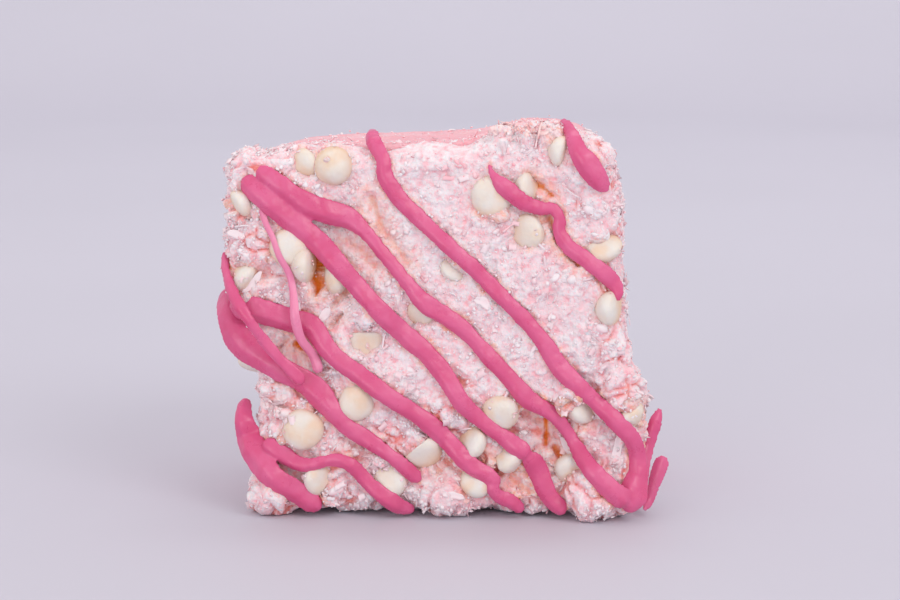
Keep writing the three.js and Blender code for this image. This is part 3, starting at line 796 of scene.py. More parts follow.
def mesh_from(name: str, points: np.ndarray, faces: np.ndarray) -> bpy.types.Object:
    """Makes a piece from points and faces that all have the same number of corners.

    Args:
        name: The piece's name.
        points: Rows of X, Y, Z.
        faces: Rows of point numbers.

    Returns:
        The new piece, linked to the scene.
    """
    mesh = bpy.data.meshes.new(name)
    mesh.vertices.add(len(points))
    mesh.vertices.foreach_set("co", np.ascontiguousarray(points, float).ravel())
    corners = faces.shape[1]
    mesh.loops.add(faces.size)
    mesh.loops.foreach_set("vertex_index", np.ascontiguousarray(faces, np.int32).ravel())
    mesh.polygons.add(len(faces))
    mesh.polygons.foreach_set("loop_start", np.arange(0, faces.size, corners, dtype=np.int32))
    mesh.update(calc_edges=True)
    piece = bpy.data.objects.new(name, mesh)
    bpy.context.scene.collection.objects.link(piece)
    return piece


def finish_piece(piece: bpy.types.Object, material: bpy.types.Material, slot: str, *nodes: str) -> None:
    """Gives a piece its material and its place in the model.

    Args:
        piece: The piece.
        material: Its material.
        slot: Not used.
        *nodes: The CAD nodes that it stands for.
    """
    piece.data.materials.clear()
    piece.data.materials.append(material)
    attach(piece, BODY)
    if nodes:
        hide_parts(*nodes)
    faces = sum(len(polygon.vertices) - 2 for polygon in piece.data.polygons)
    log.info("%s: %d triangles", piece.name, faces)


@dataclass(frozen=True)
class Face:
    """Where the topped face is: its middle line, its plane at the floor and how it leans back."""

    x: float
    y: float
    lean: float = 0.045

    @classmethod
    def from_crust(cls) -> "Face":
        """Finds the face from the crust's box, whose lowest corner has a known place on the face."""
        low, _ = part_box("crust")
        crust_left = 26.33 * MM
        crust_proud = 0.18 * MM
        return cls(low.x + crust_left, low.y + crust_proud)

    def point(self, x: float, z: float, back: float = 0.0) -> Vector:
        """Gives a place on the face.

        Args:
            x: How far right of the middle line, in mm.
            z: How far above the floor, in mm.
            back: How far behind the face, in mm.

        Returns:
            The place in the frame, in metres.
        """
        return Vector((self.x + x * MM, self.y + (back + self.lean * z) * MM, z * MM))

    def depth_of(self, points: np.ndarray) -> np.ndarray:
        """Gives how far behind the face points lie, in metres."""
        return points[:, 1] - self.y - self.lean * points[:, 2]


@dataclass
class Bits:
    """Loose things laid over a surface, gathered until they become one mesh."""

    points: list[np.ndarray]
    faces: list[np.ndarray]
    tints: list[np.ndarray]
    warmths: list[np.ndarray]
    count: int = 0

    @classmethod
    def none(cls) -> "Bits":
        """Makes an empty gathering."""
        return cls([], [], [], [])

    def add(self, shape: tuple[np.ndarray, np.ndarray], turns: np.ndarray, places: np.ndarray,
            tints: np.ndarray, warmths: np.ndarray) -> None:
        """Adds copies of one shape that all stay above the floor.

        Args:
            shape: The shape's points and triangles.
            turns: One 3 by 3 matrix for each copy, with its size in it.
            places: Where each copy's middle goes.
            tints: How pink each copy is; its lower points also take painted pink shade.
            warmths: How orange each copy is, as its own tone or as painted shade.
        """
        points, triangles = shape
        moved = np.einsum("nij,vj->nvi", turns, points) + places[:, None, :]
        clear = moved[:, :, 2].min(axis=1) > 0.00004
        moved, tints, warmths = moved[clear], tints[clear], warmths[clear]
        copies = len(moved)
        steps = np.arange(copies)[:, None, None] * len(points) + self.count
        self.points.append(moved.reshape(-1, 3))
        self.faces.append((triangles[None] + steps).reshape(-1, 3))
        # Painted pink shade on each copy's lower points.
        under = np.clip(0.2 - points[:, 2], 0, 1) * 1.2
        self.tints.append(np.clip(tints[:, None] + under[None], 0, 1).ravel())
        self.warmths.append(np.repeat(warmths, len(points)))
        self.count += copies * len(points)

    def make(self, name: str) -> bpy.types.Object:
        """Turns all that was gathered into one smooth-shaded piece."""
        piece = mesh_from(name, np.concatenate(self.points), np.concatenate(self.faces))
        keep_values(piece, "tint", np.concatenate(self.tints))
        keep_values(piece, "warmth", np.concatenate(self.warmths))
        shade_smooth(piece)
        return piece


# ---------------------------------------------------------------------------------------------
# The marshmallow's sub-assemblies
# ---------------------------------------------------------------------------------------------


@dataclass
class FoamBlock:
    """The marbled block, with pores and bubbles in its skin."""

    voxel: float = 0.36 * MM
    swell: float = 0.22 * MM
    grain: float = 0.07 * MM
    pores: int = 150

    def build(self, face: Face) -> bpy.types.Object:
        """Makes the block from the CAD foam.

        Args:
            face: Not used.

        Returns:
            The finished piece.
        """
        piece = copy_of("foam", "foam_block")
        modify(piece, "REMESH", mode="VOXEL", voxel_size=self.voxel)
        modify(piece, "SMOOTH", factor=0.5, iterations=6)
        points, normals = points_of(piece), normals_of(piece)
        height = noise_at(points, 7 * MM, 2, 3.1) * self.swell
        height += noise_at(points, 1.0 * MM, 3, 8.4) * self.grain
        dents, pore_tone_and_shade = self.pore_field(points, normals)
        points += normals * (height - dents)[:, None]
        points[:, 2] = np.maximum(points[:, 2], 0)
        move_points(piece, points)
        keep_values(piece, "pore", pore_tone_and_shade)
        shade_smooth(piece)
        _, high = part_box("foam")
        finish_piece(piece, FoamFinish().make(high.y), "marshmallow_foam", "foam")
        return piece

    def pore_field(self, points: np.ndarray, normals: np.ndarray) -> tuple[np.ndarray, np.ndarray]:
        """Sinks round pores at random places of the skin.

        Args:
            points: The skin's points.
            normals: Their normals.

        Returns:
            How deep each point sinks, in metres, and how much pore colour it takes, from 0 to 1: the sealed bubbles'
            own reddish tone, plus painted shade that grows with an open pit's depth.
        """
        rng = np.random.default_rng(SEED)
        side = np.flatnonzero((normals[:, 2] > -0.5) & (normals[:, 1] > -0.5))
        tree = KDTree(len(points))
        for index, point in enumerate(points):
            tree.insert(point, index)
        tree.balance()
        dents, pore_tone_and_shade = np.zeros(len(points)), np.zeros(len(points))
        for centre in rng.choice(side, self.pores, replace=False):
            radius = (0.35 + 0.75 * rng.random() ** 3) * MM
            open_share = rng.random()
            for _, index, distance in tree.find_range(points[centre], radius * 1.5):
                share = float(smooth_step(np.array(distance / radius), 1.25, 0.35))
                dents[index] = max(dents[index], share * radius * 0.45 * open_share)
                # Sealed bubbles keep their own tone; deeper open pits add painted shade.
                pore_tone_and_shade[index] = max(pore_tone_and_shade[index], share * (0.25 + 0.35 * open_share))
        return dents, pore_tone_and_shade


@dataclass
class Crust:
    """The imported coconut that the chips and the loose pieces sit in."""

    voxel: float = 0.25 * MM
    reach: float = 0.9 * MM
    bite: float = 0.12 * MM
    press: float = 0.8 * MM
    plug_sink: float = 1.0 * MM
    plug_swell: float = 1.12
    groove: float = 0.30 * MM

    def build(self, face: Face, chips: list[bpy.types.Object]) -> bpy.types.Object:
        """Makes the crust's core from the CAD crust, with lumps, grains and crevices.

        Args:
            face: Where the topped face is.
            chips: The chips that the crust closes round.

        Returns:
            The finished piece.
        """
        piece = copy_of("crust", "crust_core")
        self.fill_pockets(piece)
        modify(piece, "REMESH", mode="VOXEL", voxel_size=self.voxel)
        modify(piece, "SMOOTH", factor=0.5, iterations=4)
        points, normals = points_of(piece), normals_of(piece)
        front = 1 - smooth_step(face.depth_of(points), 5.0 * MM, 8.5 * MM)
        rough = self.roughness(points, face)
        clumps = cells_at(points + noise_shift(points, 2.0 * MM, 1.2 * MM), 2.6 * MM, 1.7)
        coarse = smooth_step(clumps, 0.0, 0.45)
        tree = ground_under(chips)
        away = distances_to(points, tree)
        # Painted warm shade in a rim round each chip.
        chip_rim_shade = 1 - smooth_step(away, 0.2 * MM, 0.9 * MM)
        collar = 1 - smooth_step(away, 0.5 * MM, 2.0 * MM)
        sink, crevice_shade = self.crevices(points, face)
        height = noise_at(points, 6.0 * MM, 2, 2.2) * (0.25 + 0.35 * rough) * MM + self.lumps(points, face)
        height += (coarse - 0.7) * (0.12 + 0.40 * rough) * MM
        height += noise_at(points, 1.3 * MM, 3, 6.0) * (0.10 + 0.16 * rough) * MM
        broken = smooth_step(noise_at(points, 2.8 * MM, 2, 19.0), -0.15, 0.35)
        # Veins: grooves between clumps in the rough parts, with painted red shade in them.
        vein = (1 - smooth_step(clumps, 0.01, 0.12)) * smooth_step(rough, 0.25, 0.75) * broken
        height += collar * (0.15 + 0.5 * noise_at(points, 1.8 * MM, 1, 3.3)) * MM - sink - vein * self.groove
        moved = points + normals * (height * front)[:, None]
        moved[:, 1] += smooth_step(normals[:, 1], 0.1, 0.6) * self.press
        moved = self.close_round(moved, tree)
        moved[:, 2] = np.maximum(moved[:, 2], 0.1 * MM)
        move_points(piece, moved)
        # Painted pink shade in the low places: between the clumps and in the relief's hollows.
        recess = (1 - coarse) * (0.2 + 0.6 * rough) + np.clip(-noise_at(points, 1.3 * MM, 3, 6.0), 0, 1) * 0.8
        keep_values(piece, "recess", np.clip(recess, 0, 1))
        # Warm painted shade: round the crevices and in a rim beside the chips.
        keep_values(piece, "warmth", np.clip(crevice_shade * 0.8 + chip_rim_shade * 0.45, 0, 1))
        # The crevices' painted orange shade.
        keep_values(piece, "crack", smooth_step(crevice_shade, 0.42, 0.95))
        keep_values(piece, "vein", vein)
        keep_values(piece, "cleft", (1 - smooth_step(clumps, 0.08, 0.30)) * broken * smooth_step(rough, 0.25, 0.75))
        shade_smooth(piece)
        finish_piece(piece, CoconutFinish().core(), "coconut", "crust")
        return piece

    def fill_pockets(self, piece: bpy.types.Object) -> None:
        """Joins a sunk and swollen copy of each CAD chip to the crust, so that no pocket shows round it.

        Args:
            piece: The crust.
        """
        plugs = []
        for number in CHIPS:
            node = f"white_chip_{number:02d}"
            low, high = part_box(node)
            middle = (low + high) / 2
            plug = copy_of(node, f"plug_{number:02d}")
            swell = Matrix.Translation(middle - FRONT * self.plug_sink) @ Matrix.Scale(self.plug_swell, 4)
            plug.data.transform(swell @ Matrix.Translation(-middle))
            plugs.append(plug)
        join([piece, *plugs])

    @staticmethod
    def roughness(points: np.ndarray, face: Face) -> np.ndarray:
        """Gives how ragged the crust is, from 0 to 1: smooth in the middle, rough at the left and the foot."""
        across, up = (points[:, 0] - face.x) / MM, points[:, 2] / MM
        foot = 1 - smooth_step(up + noise_at(points, 5 * MM, 1, 7.0) * 4, 13.0, 19.0)
        left = 1 - smooth_step(across + noise_at(points, 5 * MM, 1, 8.0) * 4, -20.0, -13.0)
        right = smooth_step(across + noise_at(points, 5 * MM, 1, 9.0) * 4, 15.0, 20.0)
        return np.maximum.reduce([foot, left, right * 0.7, np.full(len(points), 0.12)])

    @staticmethod
    def lumps(points: np.ndarray, face: Face) -> np.ndarray:
        """Gives how high the named lumps raise each point, in metres."""
        raised = np.zeros(len(points))
        wobble = noise_at(points, 1.6 * MM, 2, 12.9) * 0.45
        for x, z, radius, height in LUMPS:
            middle = face.point(x, z)
            away = np.hypot(points[:, 0] - middle.x, points[:, 2] - middle.z) / (radius * MM) + wobble
            raised = np.maximum(raised, (1 - smooth_step(away, 0.45, 1.15)) * height * MM)
        return raised

    @staticmethod
    def crevices(points: np.ndarray, face: Face) -> tuple[np.ndarray, np.ndarray]:
        """Sinks the crevices and paints orange shade in and round them.

        Args:
            points: The points to sink.
            face: Where the topped face is.

        Returns:
            How deep each point sinks, in metres, and how strongly painted orange shade colours it, from 0 to 1.
        """
        sink, crevice_shade_most = np.zeros(len(points)), np.zeros(len(points))
        wobble = noise_at(points, 1.1 * MM, 2, 9.9) * 0.22 * MM
        for x, z, to_x, to_z, half, depth, crevice_shade in CREVICES:
            start, end = face.point(x, z), face.point(to_x, to_z)
            run = np.array([end.x - start.x, end.z - start.z])
            offset = points[:, [0, 2]] - np.array([start.x, start.z])
            along = np.clip(offset @ run / (run @ run), 0, 1)
            away = np.linalg.norm(offset - along[:, None] * run, axis=1) + wobble
            share = 1 - smooth_step(away, half * 0.1 * MM, (half * 0.8 + 0.3) * MM)
            halo = 1 - smooth_step(away, half * MM, (half + 1.9) * MM)
            sink = np.maximum(sink, share * depth * MM)
            # Painted orange shade fills the crevice and fades out in a halo round it.
            crevice_shade_most = np.maximum(crevice_shade_most, np.maximum(share, halo * 0.5) * crevice_shade)
        return sink, crevice_shade_most

    @staticmethod
    def paint_drizzle_shadow(piece: bpy.types.Object, drizzle: bpy.types.Object) -> None:
        """Paints a warm red shadow into the crust's colour beside the drizzle.

        Args:
            piece: The crust's core.
            drizzle: The drizzle.
        """
        points = points_of(piece)
        away = distances_to(points, ground_under([drizzle]))
        # Painted shadow, strongest next to the strands and broken into patches.
        near = 1 - smooth_step(away + noise_at(points, 1.0 * MM, 2, 14.0) * 0.25 * MM, 0.1 * MM, 0.7 * MM)
        near *= 0.5 + 0.9 * smooth_step(noise_at(points, 4.0 * MM, 1, 16.0), -0.1, 0.4)
        warmth = np.empty(len(points), np.float32)
        kept = piece.data.attributes["warmth"].data
        kept.foreach_get("value", warmth)
        kept.foreach_set("value", np.clip(warmth + near * 0.5, 0, 1).astype(np.float32))

    def close_round(self, points: np.ndarray, tree: BVHTree) -> np.ndarray:
        """Draws the crust onto the chips, so that no gap shows round them.

        Args:
            points: The crust's points.
            tree: The chips.

        Returns:
            The moved points.
        """
        closed = points.copy()
        for index, point in enumerate(points):
            spot, normal, _, distance = tree.find_nearest(Vector(point), self.reach)
            if spot is None:
                continue
            share = float(1 - smooth_step(np.array(distance), 0.45 * MM, self.reach))
            target = np.array(spot - normal * self.bite)
            closed[index] = point + (target - point) * share
        return closed


@dataclass
class Chips:
    """White chocolate chips: drops, buttons that show their flat base, and broken ones."""

    turns: int = 30
    growth: float = 1.04
    sunk: float = 0.40 * MM

    def build(self) -> list[bpy.types.Object]:
        """Makes one chip for each CAD chip.

        Returns:
            The finished pieces.
        """
        material = WhiteChocolateFinish().make()
        rng = np.random.default_rng(SEED + 1)
        made = []
        for number, (diameter, tilt, turn, form) in CHIPS.items():
            node = f"white_chip_{number:02d}"
            low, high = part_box(node)
            piece = self.chip(f"chip_{number:02d}", form, rng)
            size = Matrix.Scale(diameter / 2 * self.growth * MM, 4)
            aim = Matrix.Rotation(math.radians(turn), 4, "Y") @ Matrix.Rotation(math.radians(tilt + 180), 4, "X")
            middle = (low + high) / 2 - FRONT * self.sunk
            piece.data.transform(Matrix.Translation(middle) @ aim @ size)
            self.roughen(piece, diameter * MM)
            # Painted golden shade on the back of each chip, where it sinks into the crust.
            share = (points_of(piece)[:, 1] - low.y) / (high.y - low.y)
            keep_values(piece, "sunk", smooth_step(share, 0.15, 0.75) * 0.8)
            finish_piece(piece, material, "white_chocolate", node)
            made.append(piece)
        return made

    def chip(self, name: str, form: ChipForm, rng: np.random.Generator) -> bpy.types.Object:
        """Spins a chip of radius 1 about Y, with its tip towards +Y.

        Args:
            name: The piece's name.
            form: How the chip is shaped.
            rng: Source of chance.

        Returns:
            The chip.
        """
        tip = 0.84 if form is ChipForm.DROP else 0.66
        base = 0.72 if form is ChipForm.BUTTON else 0.58
        profile = [
            (0.0, -base), (0.38, -base * 0.97), (0.68, -base * 0.87), (0.88, -base * 0.68), (0.99, -0.26),
            (0.98, -0.02), (0.88, 0.2), (0.68, 0.42), (0.44, 0.58), (0.24, tip * 0.92), (0.1, tip * 0.98),
            (0.0, tip),
        ]
        mesh = bpy.data.meshes.new(name)
        edges = [(i, i + 1) for i in range(len(profile) - 1)]
        mesh.from_pydata([(r, y, 0.0) for r, y in profile], edges, [])
        piece = bpy.data.objects.new(name, mesh)
        bpy.context.scene.collection.objects.link(piece)
        pick(piece)
        bpy.ops.object.mode_set(mode="EDIT")
        bpy.ops.mesh.select_all(action="SELECT")
        bpy.ops.mesh.spin(steps=self.turns, angle=math.tau, center=(0, 0, 0), axis=(0, 1, 0))
        bpy.ops.mesh.select_all(action="SELECT")
        bpy.ops.mesh.remove_doubles(threshold=1e-4)
        bpy.ops.mesh.normals_make_consistent(inside=False)
        if form is ChipForm.BROKEN:
            angle = rng.uniform(0, math.tau)
            cut = Vector((math.cos(angle), rng.uniform(-0.2, 0.9), math.sin(angle))).normalized()
            offset = cut * rng.uniform(0.25, 0.5)
            bpy.ops.mesh.select_all(action="SELECT")
            bpy.ops.mesh.bisect(plane_co=offset, plane_no=cut, use_fill=True, clear_outer=True)
            bpy.ops.mesh.select_all(action="SELECT")
            bpy.ops.mesh.quads_convert_to_tris()
        bpy.ops.object.mode_set(mode="OBJECT")
        if form is ChipForm.BROKEN:
            modify(piece, "REMESH", mode="VOXEL", voxel_size=0.09)
            modify(piece, "SMOOTH", factor=0.5, iterations=3)
        else:
            modify(piece, "SUBSURF", levels=1, render_levels=1)
        return piece

    @staticmethod
    def paint_chip_edge_shade(chips: list[bpy.types.Object], core: bpy.types.Object) -> None:
        """Paints golden shade on the chips where they meet the crust or one another.

        Args:
            chips: The chips.
            core: The crust's core.
        """
        crust = ground_under([core])
        middles = {chip.name: Vector(points_of(chip).mean(0)) for chip in chips}
        for chip in chips:
            points = points_of(chip)
            away = distances_to(points, crust)
            close = [
                other for other in chips
                if other is not chip and (middles[other.name] - middles[chip.name]).length < 5.2 * MM
            ]
            if close:
                away = np.minimum(away, distances_to(points, ground_under(close)))
            near = 1 - smooth_step(away + noise_at(points, 0.8 * MM, 2, 6.1) * 0.2 * MM, 0.02 * MM, 0.55 * MM)
            near *= 0.15 + 0.85 * smooth_step(noise_at(points, 3.0 * MM, 1, 9.3), -0.05, 0.35)
            sunk = np.empty(len(points), np.float32)
            kept = chip.data.attributes["sunk"].data
            kept.foreach_get("value", sunk)
            kept.foreach_set("value", np.maximum(sunk, near * 0.5).astype(np.float32))

    def roughen(self, piece: bpy.types.Object, diameter: float) -> None:
        """Makes a chip uneven, as a cooled drop is, and shades it smooth.

        Args:
            piece: The chip.
            diameter: Its diameter, in metres.
        """
        points, normals = points_of(piece), normals_of(piece)
        uneven = noise_at(points, diameter * 0.75, 2, 4.4) * diameter * 0.045
        move_points(piece, points + normals * uneven[:, None])
        shade_smooth(piece)


@dataclass
class Strand:
    """One drizzled line of chocolate, laid over the crust and the chips."""

    name: str
    step: float = 0.55 * MM
    sides: int = 20
    height: float = 0.26
    slimness: float = 1.0

    def stations(self, face: Face, ground: BVHTree) -> tuple[np.ndarray, np.ndarray]:
        """Walks along the strand's middle line.

        Args:
            face: Where the topped face is.
            ground: What the strand lies on.

        Returns:
            The middle points and the widths, in metres.
        """
        rows = [(*row, 0.0) if len(row) == 3 else row for row in STRANDS[self.name]]
        ends = [tuple(2 * a - b for a, b in zip(rows[0], rows[1]))]
        tail = [tuple(2 * a - b for a, b in zip(rows[-1], rows[-2]))]
        knots = np.array(ends + rows + tail)
        walked = []
        for i in range(1, len(knots) - 2):
            before, start, end, after = knots[i - 1 : i + 3]
            length = np.hypot(*(end - start)[:2]) * MM
            steps = max(2, round(length / self.step))
            for t in np.arange(steps) / steps:
                walked.append(0.5 * (2 * start + (end - before) * t
                              + (2 * before - 5 * start + 4 * end - after) * t ** 2
                              + (3 * start - before - 3 * end + after) * t ** 3))
        walked.append(knots[-2])
        track = np.array(walked)
        under = np.array([self.ground_at(face, ground, row) for row in track])
        reach = 3
        padded = np.pad(under, reach, mode="edge")
        front_most = np.array([padded[i : i + 2 * reach + 1].min() for i in range(len(under))])
        rest = 0.5 * front_most + 0.5 * under
        kernel = np.array([0, 1, 2, 3, 2, 1, 0]) / 9
        rest = np.convolve(np.pad(rest, reach, mode="edge"), kernel, mode="valid")
        wobble = 1 + 0.16 * np.array([noise.noise(Vector((s * 0.14, len(self.name), 0))) for s in range(len(track))])
        widths = track[:, 2] * MM * wobble * self.slimness
        centres = np.array([face.point(x, z) for x, z, *_ in track])
        centres[:, 1] = rest + track[:, 3] * MM - 0.10 * MM
        centres[:, 2] = np.maximum(centres[:, 2], widths / 2 + 0.1 * MM)
        return centres, widths

    def ground_at(self, face: Face, ground: BVHTree, row: np.ndarray) -> float:
        """Finds where the strand would touch down.

        Args:
            face: Where the topped face is.
            ground: What the strand lies on.
            row: The strand's x, z, width and back at this place, in mm.

        Returns:
            The front-most Y under the strand's width, in metres.
        """
        x, z, width, _ = row
        found = []
        for dx, dz in ((0, 0), (0.35, 0), (-0.35, 0), (0, 0.35), (0, -0.35)):
            start = face.point(x + dx * width, z + dz * width, -20)
            hit, *_ = ground.ray_cast(start, -FRONT, 26 * MM)
            if hit is not None:
                found.append(hit.y)
        return min(found) if found else face.point(x, z, 1.2).y

    def section(self, count: int) -> tuple[np.ndarray, np.ndarray]:
        """Shapes the strand's section: a low roof with a soft ridge that wanders from side to side.

        Args:
            count: How many sections the strand has.

        Returns:
            How far across and how far out each section's points lie, as shares of half the width and
            of the height.
        """
        angles = np.arange(self.sides) * math.tau / self.sides
        wide = np.repeat(np.cos(angles)[None], count, 0)
        sway = [noise.noise(Vector((s * 0.09, 3.0, len(self.name)))) for s in range(count)]
        ridge = (0.22 + 0.55 * np.array(sway))[:, None]
        slope = np.where(wide > ridge, (1 - wide) / (1 - ridge), (1 + wide) / (1 + ridge))
        roof = 1 - (1 - np.clip(slope, 0, 1)) ** 1.35
        tall = np.where(np.sin(angles)[None] > 1e-6, roof, -0.35 * np.sqrt(np.clip(1 - wide ** 2, 0, 1)))
        return wide, tall

    def rings(self, centres: np.ndarray, widths: np.ndarray) -> tuple[np.ndarray, np.ndarray]:
        """Wraps a flattened tube with round ends about the middle line.

        Args:
            centres: The middle points.
            widths: The widths.

        Returns:
            The tube's points and its faces of four corners.
        """
        along = np.gradient(centres, axis=0)
        along /= np.linalg.norm(along, axis=1)[:, None]
        across = np.cross(along, np.array(FRONT))
        across /= np.linalg.norm(across, axis=1)[:, None]
        out = np.cross(across, along)
        travelled = np.concatenate([[0], np.cumsum(np.linalg.norm(np.diff(centres, axis=0), axis=1))])
        to_end = np.minimum(travelled, travelled[-1] - travelled) + 0.12 * MM
        round_off = np.sqrt(np.clip(1 - (1 - np.clip(to_end / (widths * 0.5), 0, 1)) ** 2, 0.03, 1))
        half = widths / 2 * round_off
        wide, tall = self.section(len(centres))
        points = (
            centres[:, None]
            + across[:, None] * (half[:, None] * wide)[:, :, None]
            + out[:, None] * (half[:, None] * 2 * self.height * tall)[:, :, None]
        )
        rings, sides = len(centres), self.sides
        k = np.arange(sides)
        following = (k + 1) % sides
        quads = [
            np.stack([r * sides + k, r * sides + following, (r + 1) * sides + following, (r + 1) * sides + k], 1)
            for r in range(rings - 1)
        ]
        return points.reshape(-1, 3), np.concatenate(quads)


@dataclass
class Drizzle:
    """All the strands, run together where they meet."""

    voxel: float = 0.16 * MM

    def build(self, face: Face, ground: BVHTree) -> tuple[bpy.types.Object, list[tuple[Vector, float]]]:
        """Makes the drizzle.

        Args:
            face: Where the topped face is.
            ground: What the strands lie on.

        Returns:
            The finished piece, and its strands' middle points with half their widths.
        """
        tubes, route = {}, []
        for name in STRANDS:
            strand = Strand(name)
            centres, widths = strand.stations(face, ground)
            tubes[name] = self.tube(name, *strand.rings(centres, widths))
            route += [(Vector(c), w / 2) for c, w in zip(centres, widths)]
        thread = tubes.pop("drizzle_thread")
        piece = join(list(tubes.values()))
        piece.name = "pink_drizzle"
        modify(piece, "REMESH", mode="VOXEL", voxel_size=self.voxel)
        modify(piece, "SMOOTH", factor=0.5, iterations=4)
        points, normals = points_of(piece), normals_of(piece)
        uneven = noise_at(points, 2.6 * MM, 2, 1.3) * 0.08 * MM + noise_at(points, 1.0 * MM, 2, 7.7) * 0.03 * MM
        points += normals * uneven[:, None]
        points[:, 2] = np.maximum(points[:, 2], 0.02 * MM)
        move_points(piece, points)
        # The thin thread takes the painted, paler lit colour.
        keep_values(piece, "thin", np.zeros(len(points)))
        keep_values(thread, "thin", np.ones(len(thread.data.vertices)))
        join([piece, thread])
        shade_smooth(piece)
        finish_piece(piece, PinkChocolateFinish().make(), "pink_chocolate", *STRANDS)
        return piece, route

    @staticmethod
    def tube(name: str, points: np.ndarray, faces: np.ndarray) -> bpy.types.Object:
        """Makes one strand's tube and closes its ends.

        Args:
            name: The strand's name.
            points: The tube's points.
            faces: Its faces of four corners.

        Returns:
            The closed tube.
        """
        tube = mesh_from(name, points, faces)
        pick(tube)
        bpy.ops.object.mode_set(mode="EDIT")
        bpy.ops.mesh.select_all(action="DESELECT")
        bpy.ops.mesh.select_non_manifold()
        bpy.ops.mesh.fill_holes(sides=0)
        bpy.ops.mesh.select_all(action="SELECT")
        bpy.ops.mesh.normals_make_consistent(inside=False)
        bpy.ops.object.mode_set(mode="OBJECT")
        return tube


@dataclass
class BroadFlakes:
    """Large curled flakes of coconut that lie on the crust one by one."""

    thickness: float = 0.2 * MM

    def build(self, face: Face, ground: BVHTree) -> bpy.types.Object:
        """Makes the flakes.

        Args:
            face: Where the topped face is.
            ground: What they lie on.

        Returns:
            The finished piece.
        """
        rng = np.random.default_rng(SEED + 3)
        flakes = []
        for x, z, length, width, turn in BROAD_FLAKES:
            start = face.point(x, z, -20)
            hit, normal, *_ = ground.ray_cast(start, -FRONT, 30 * MM)
            spot = face.point(x, z) if hit is None else hit
            outward = FRONT if normal is None else (FRONT + normal * 0.4).normalized()
            flake = self.flake(length * MM, width * MM, rng)
            lie = Matrix.Rotation(math.radians(turn), 4, "Z")
            aim = outward.to_track_quat("Z", "X").to_matrix().to_4x4()
            flake.data.transform(Matrix.Translation(spot - outward * 0.02 * MM) @ aim @ lie)
            flakes.append(flake)
        piece = join(flakes)
        piece.name = "broad_flakes"
        keep_values(piece, "tint", 0.1 + 0.25 * np.clip(noise_at(points_of(piece), 1.0 * MM, 2, 5.0), 0, 1))
        keep_values(piece, "warmth", np.full(len(piece.data.vertices), 0.04))
        shade_smooth(piece)
        finish_piece(piece, CoconutFinish().pieces("broad_flakes"), "coconut")
        return piece

    def flake(self, length: float, width: float, rng: np.random.Generator) -> bpy.types.Object:
        """Curls one flake out of a flat strip with an uneven outline.

        Args:
            length: Its length, in metres.
            width: Its width, in metres.
            rng: Source of chance.

        Returns:
            The flake, flat side down on the plane Z = 0.
        """
        bpy.ops.object.select_all(action="DESELECT")
        bpy.ops.mesh.primitive_grid_add(x_subdivisions=8, y_subdivisions=3, size=1)
        flake = bpy.context.object
        points = points_of(flake)
        along, across = points[:, 0].copy(), points[:, 1].copy()
        taper = (1 - (2 * np.abs(along)) ** 3 * 0.55) * rng.uniform(0.65, 1.2, len(points))
        bend, curl, twist = rng.uniform(0.10, 0.28), rng.uniform(0.1, 0.5), rng.uniform(-0.4, 0.4)
        points[:, 0] = along * length * rng.uniform(0.9, 1.1, len(points))
        points[:, 1] = (across * taper + bend * (along ** 2 * 4 - 0.5)) * width
        points[:, 2] = (curl * across ** 2 * 2 + twist * along * across) * width + 0.09 * length * along ** 2
        move_points(flake, points)
        modify(flake, "SOLIDIFY", thickness=self.thickness, offset=0)
        modify(flake, "SUBSURF", levels=1, render_levels=1)
        return flake


@dataclass
class Patch:
    """Places on a surface where loose pieces may lie, with their normals."""

    places: np.ndarray
    normals: np.ndarray

    @classmethod
    def on(cls, piece: bpy.types.Object, weights: np.ndarray, count: int, rng: np.random.Generator) -> "Patch":
        """Draws places on a mesh.

        Args:
            piece: The mesh.
            weights: How much each of its faces attracts, whatever its size.
            count: How many places to draw.
            rng: Source of chance.

        Returns:
            The places.
        """
        polygons = piece.data.polygons
        middles, normals = np.empty(len(polygons) * 3), np.empty(len(polygons) * 3)
        areas = np.empty(len(polygons))
        polygons.foreach_get("center", middles)
        polygons.foreach_get("normal", normals)
        polygons.foreach_get("area", areas)
        chance = areas * weights
        chosen = rng.choice(len(polygons), count, p=chance / chance.sum())
        jitter = rng.normal(0, 0.12 * MM, (count, 3))
        return cls(middles.reshape(-1, 3)[chosen] + jitter, normals.reshape(-1, 3)[chosen])

    def keep(self, mask: np.ndarray) -> "Patch":
        """Keeps only some of the places."""
        return Patch(self.places[mask], self.normals[mask])


def face_middles(piece: bpy.types.Object) -> tuple[np.ndarray, np.ndarray]:
    """Gives the middles and the normals of a mesh's faces."""
    polygons = piece.data.polygons
    middles, normals = np.empty(len(polygons) * 3), np.empty(len(polygons) * 3)
    polygons.foreach_get("center", middles)
    polygons.foreach_get("normal", normals)
    return middles.reshape(-1, 3), normals.reshape(-1, 3)


def face_values(piece: bpy.types.Object, name: str) -> np.ndarray:
    """Gives the number that a mesh keeps on the first point of each face."""
    values = np.empty(len(piece.data.vertices), np.float32)
    piece.data.attributes[name].data.foreach_get("value", values)
    return values[[polygon.vertices[0] for polygon in piece.data.polygons]]


class BitKind(Enum):
    """The kinds of loose coconut."""

    DUST = "coconut_dust"
    GRIT = "coconut_grit"
    CRUMB = "coconut_crumbs"
    CLUMP = "coconut_clumps"
    FLAKE = "coconut_flakes"
    SHRED = "coconut_shreds"
    FLUFF = "coconut_fluff"


@dataclass(frozen=True)
class BitRule:
    """How one kind of loose coconut is laid. Sizes are in mm and angles in degrees.

    Patchy is how far it keeps to patches, from 0 to 1, and blush how pink it is on average.
    """

    crust_count: int
    side_count: int
    length: tuple[float, float]
    width: tuple[float, float]
    thickness: tuple[float, float]
    lift: tuple[float, float]
    tilt: float
    patchy: float
    blush: float


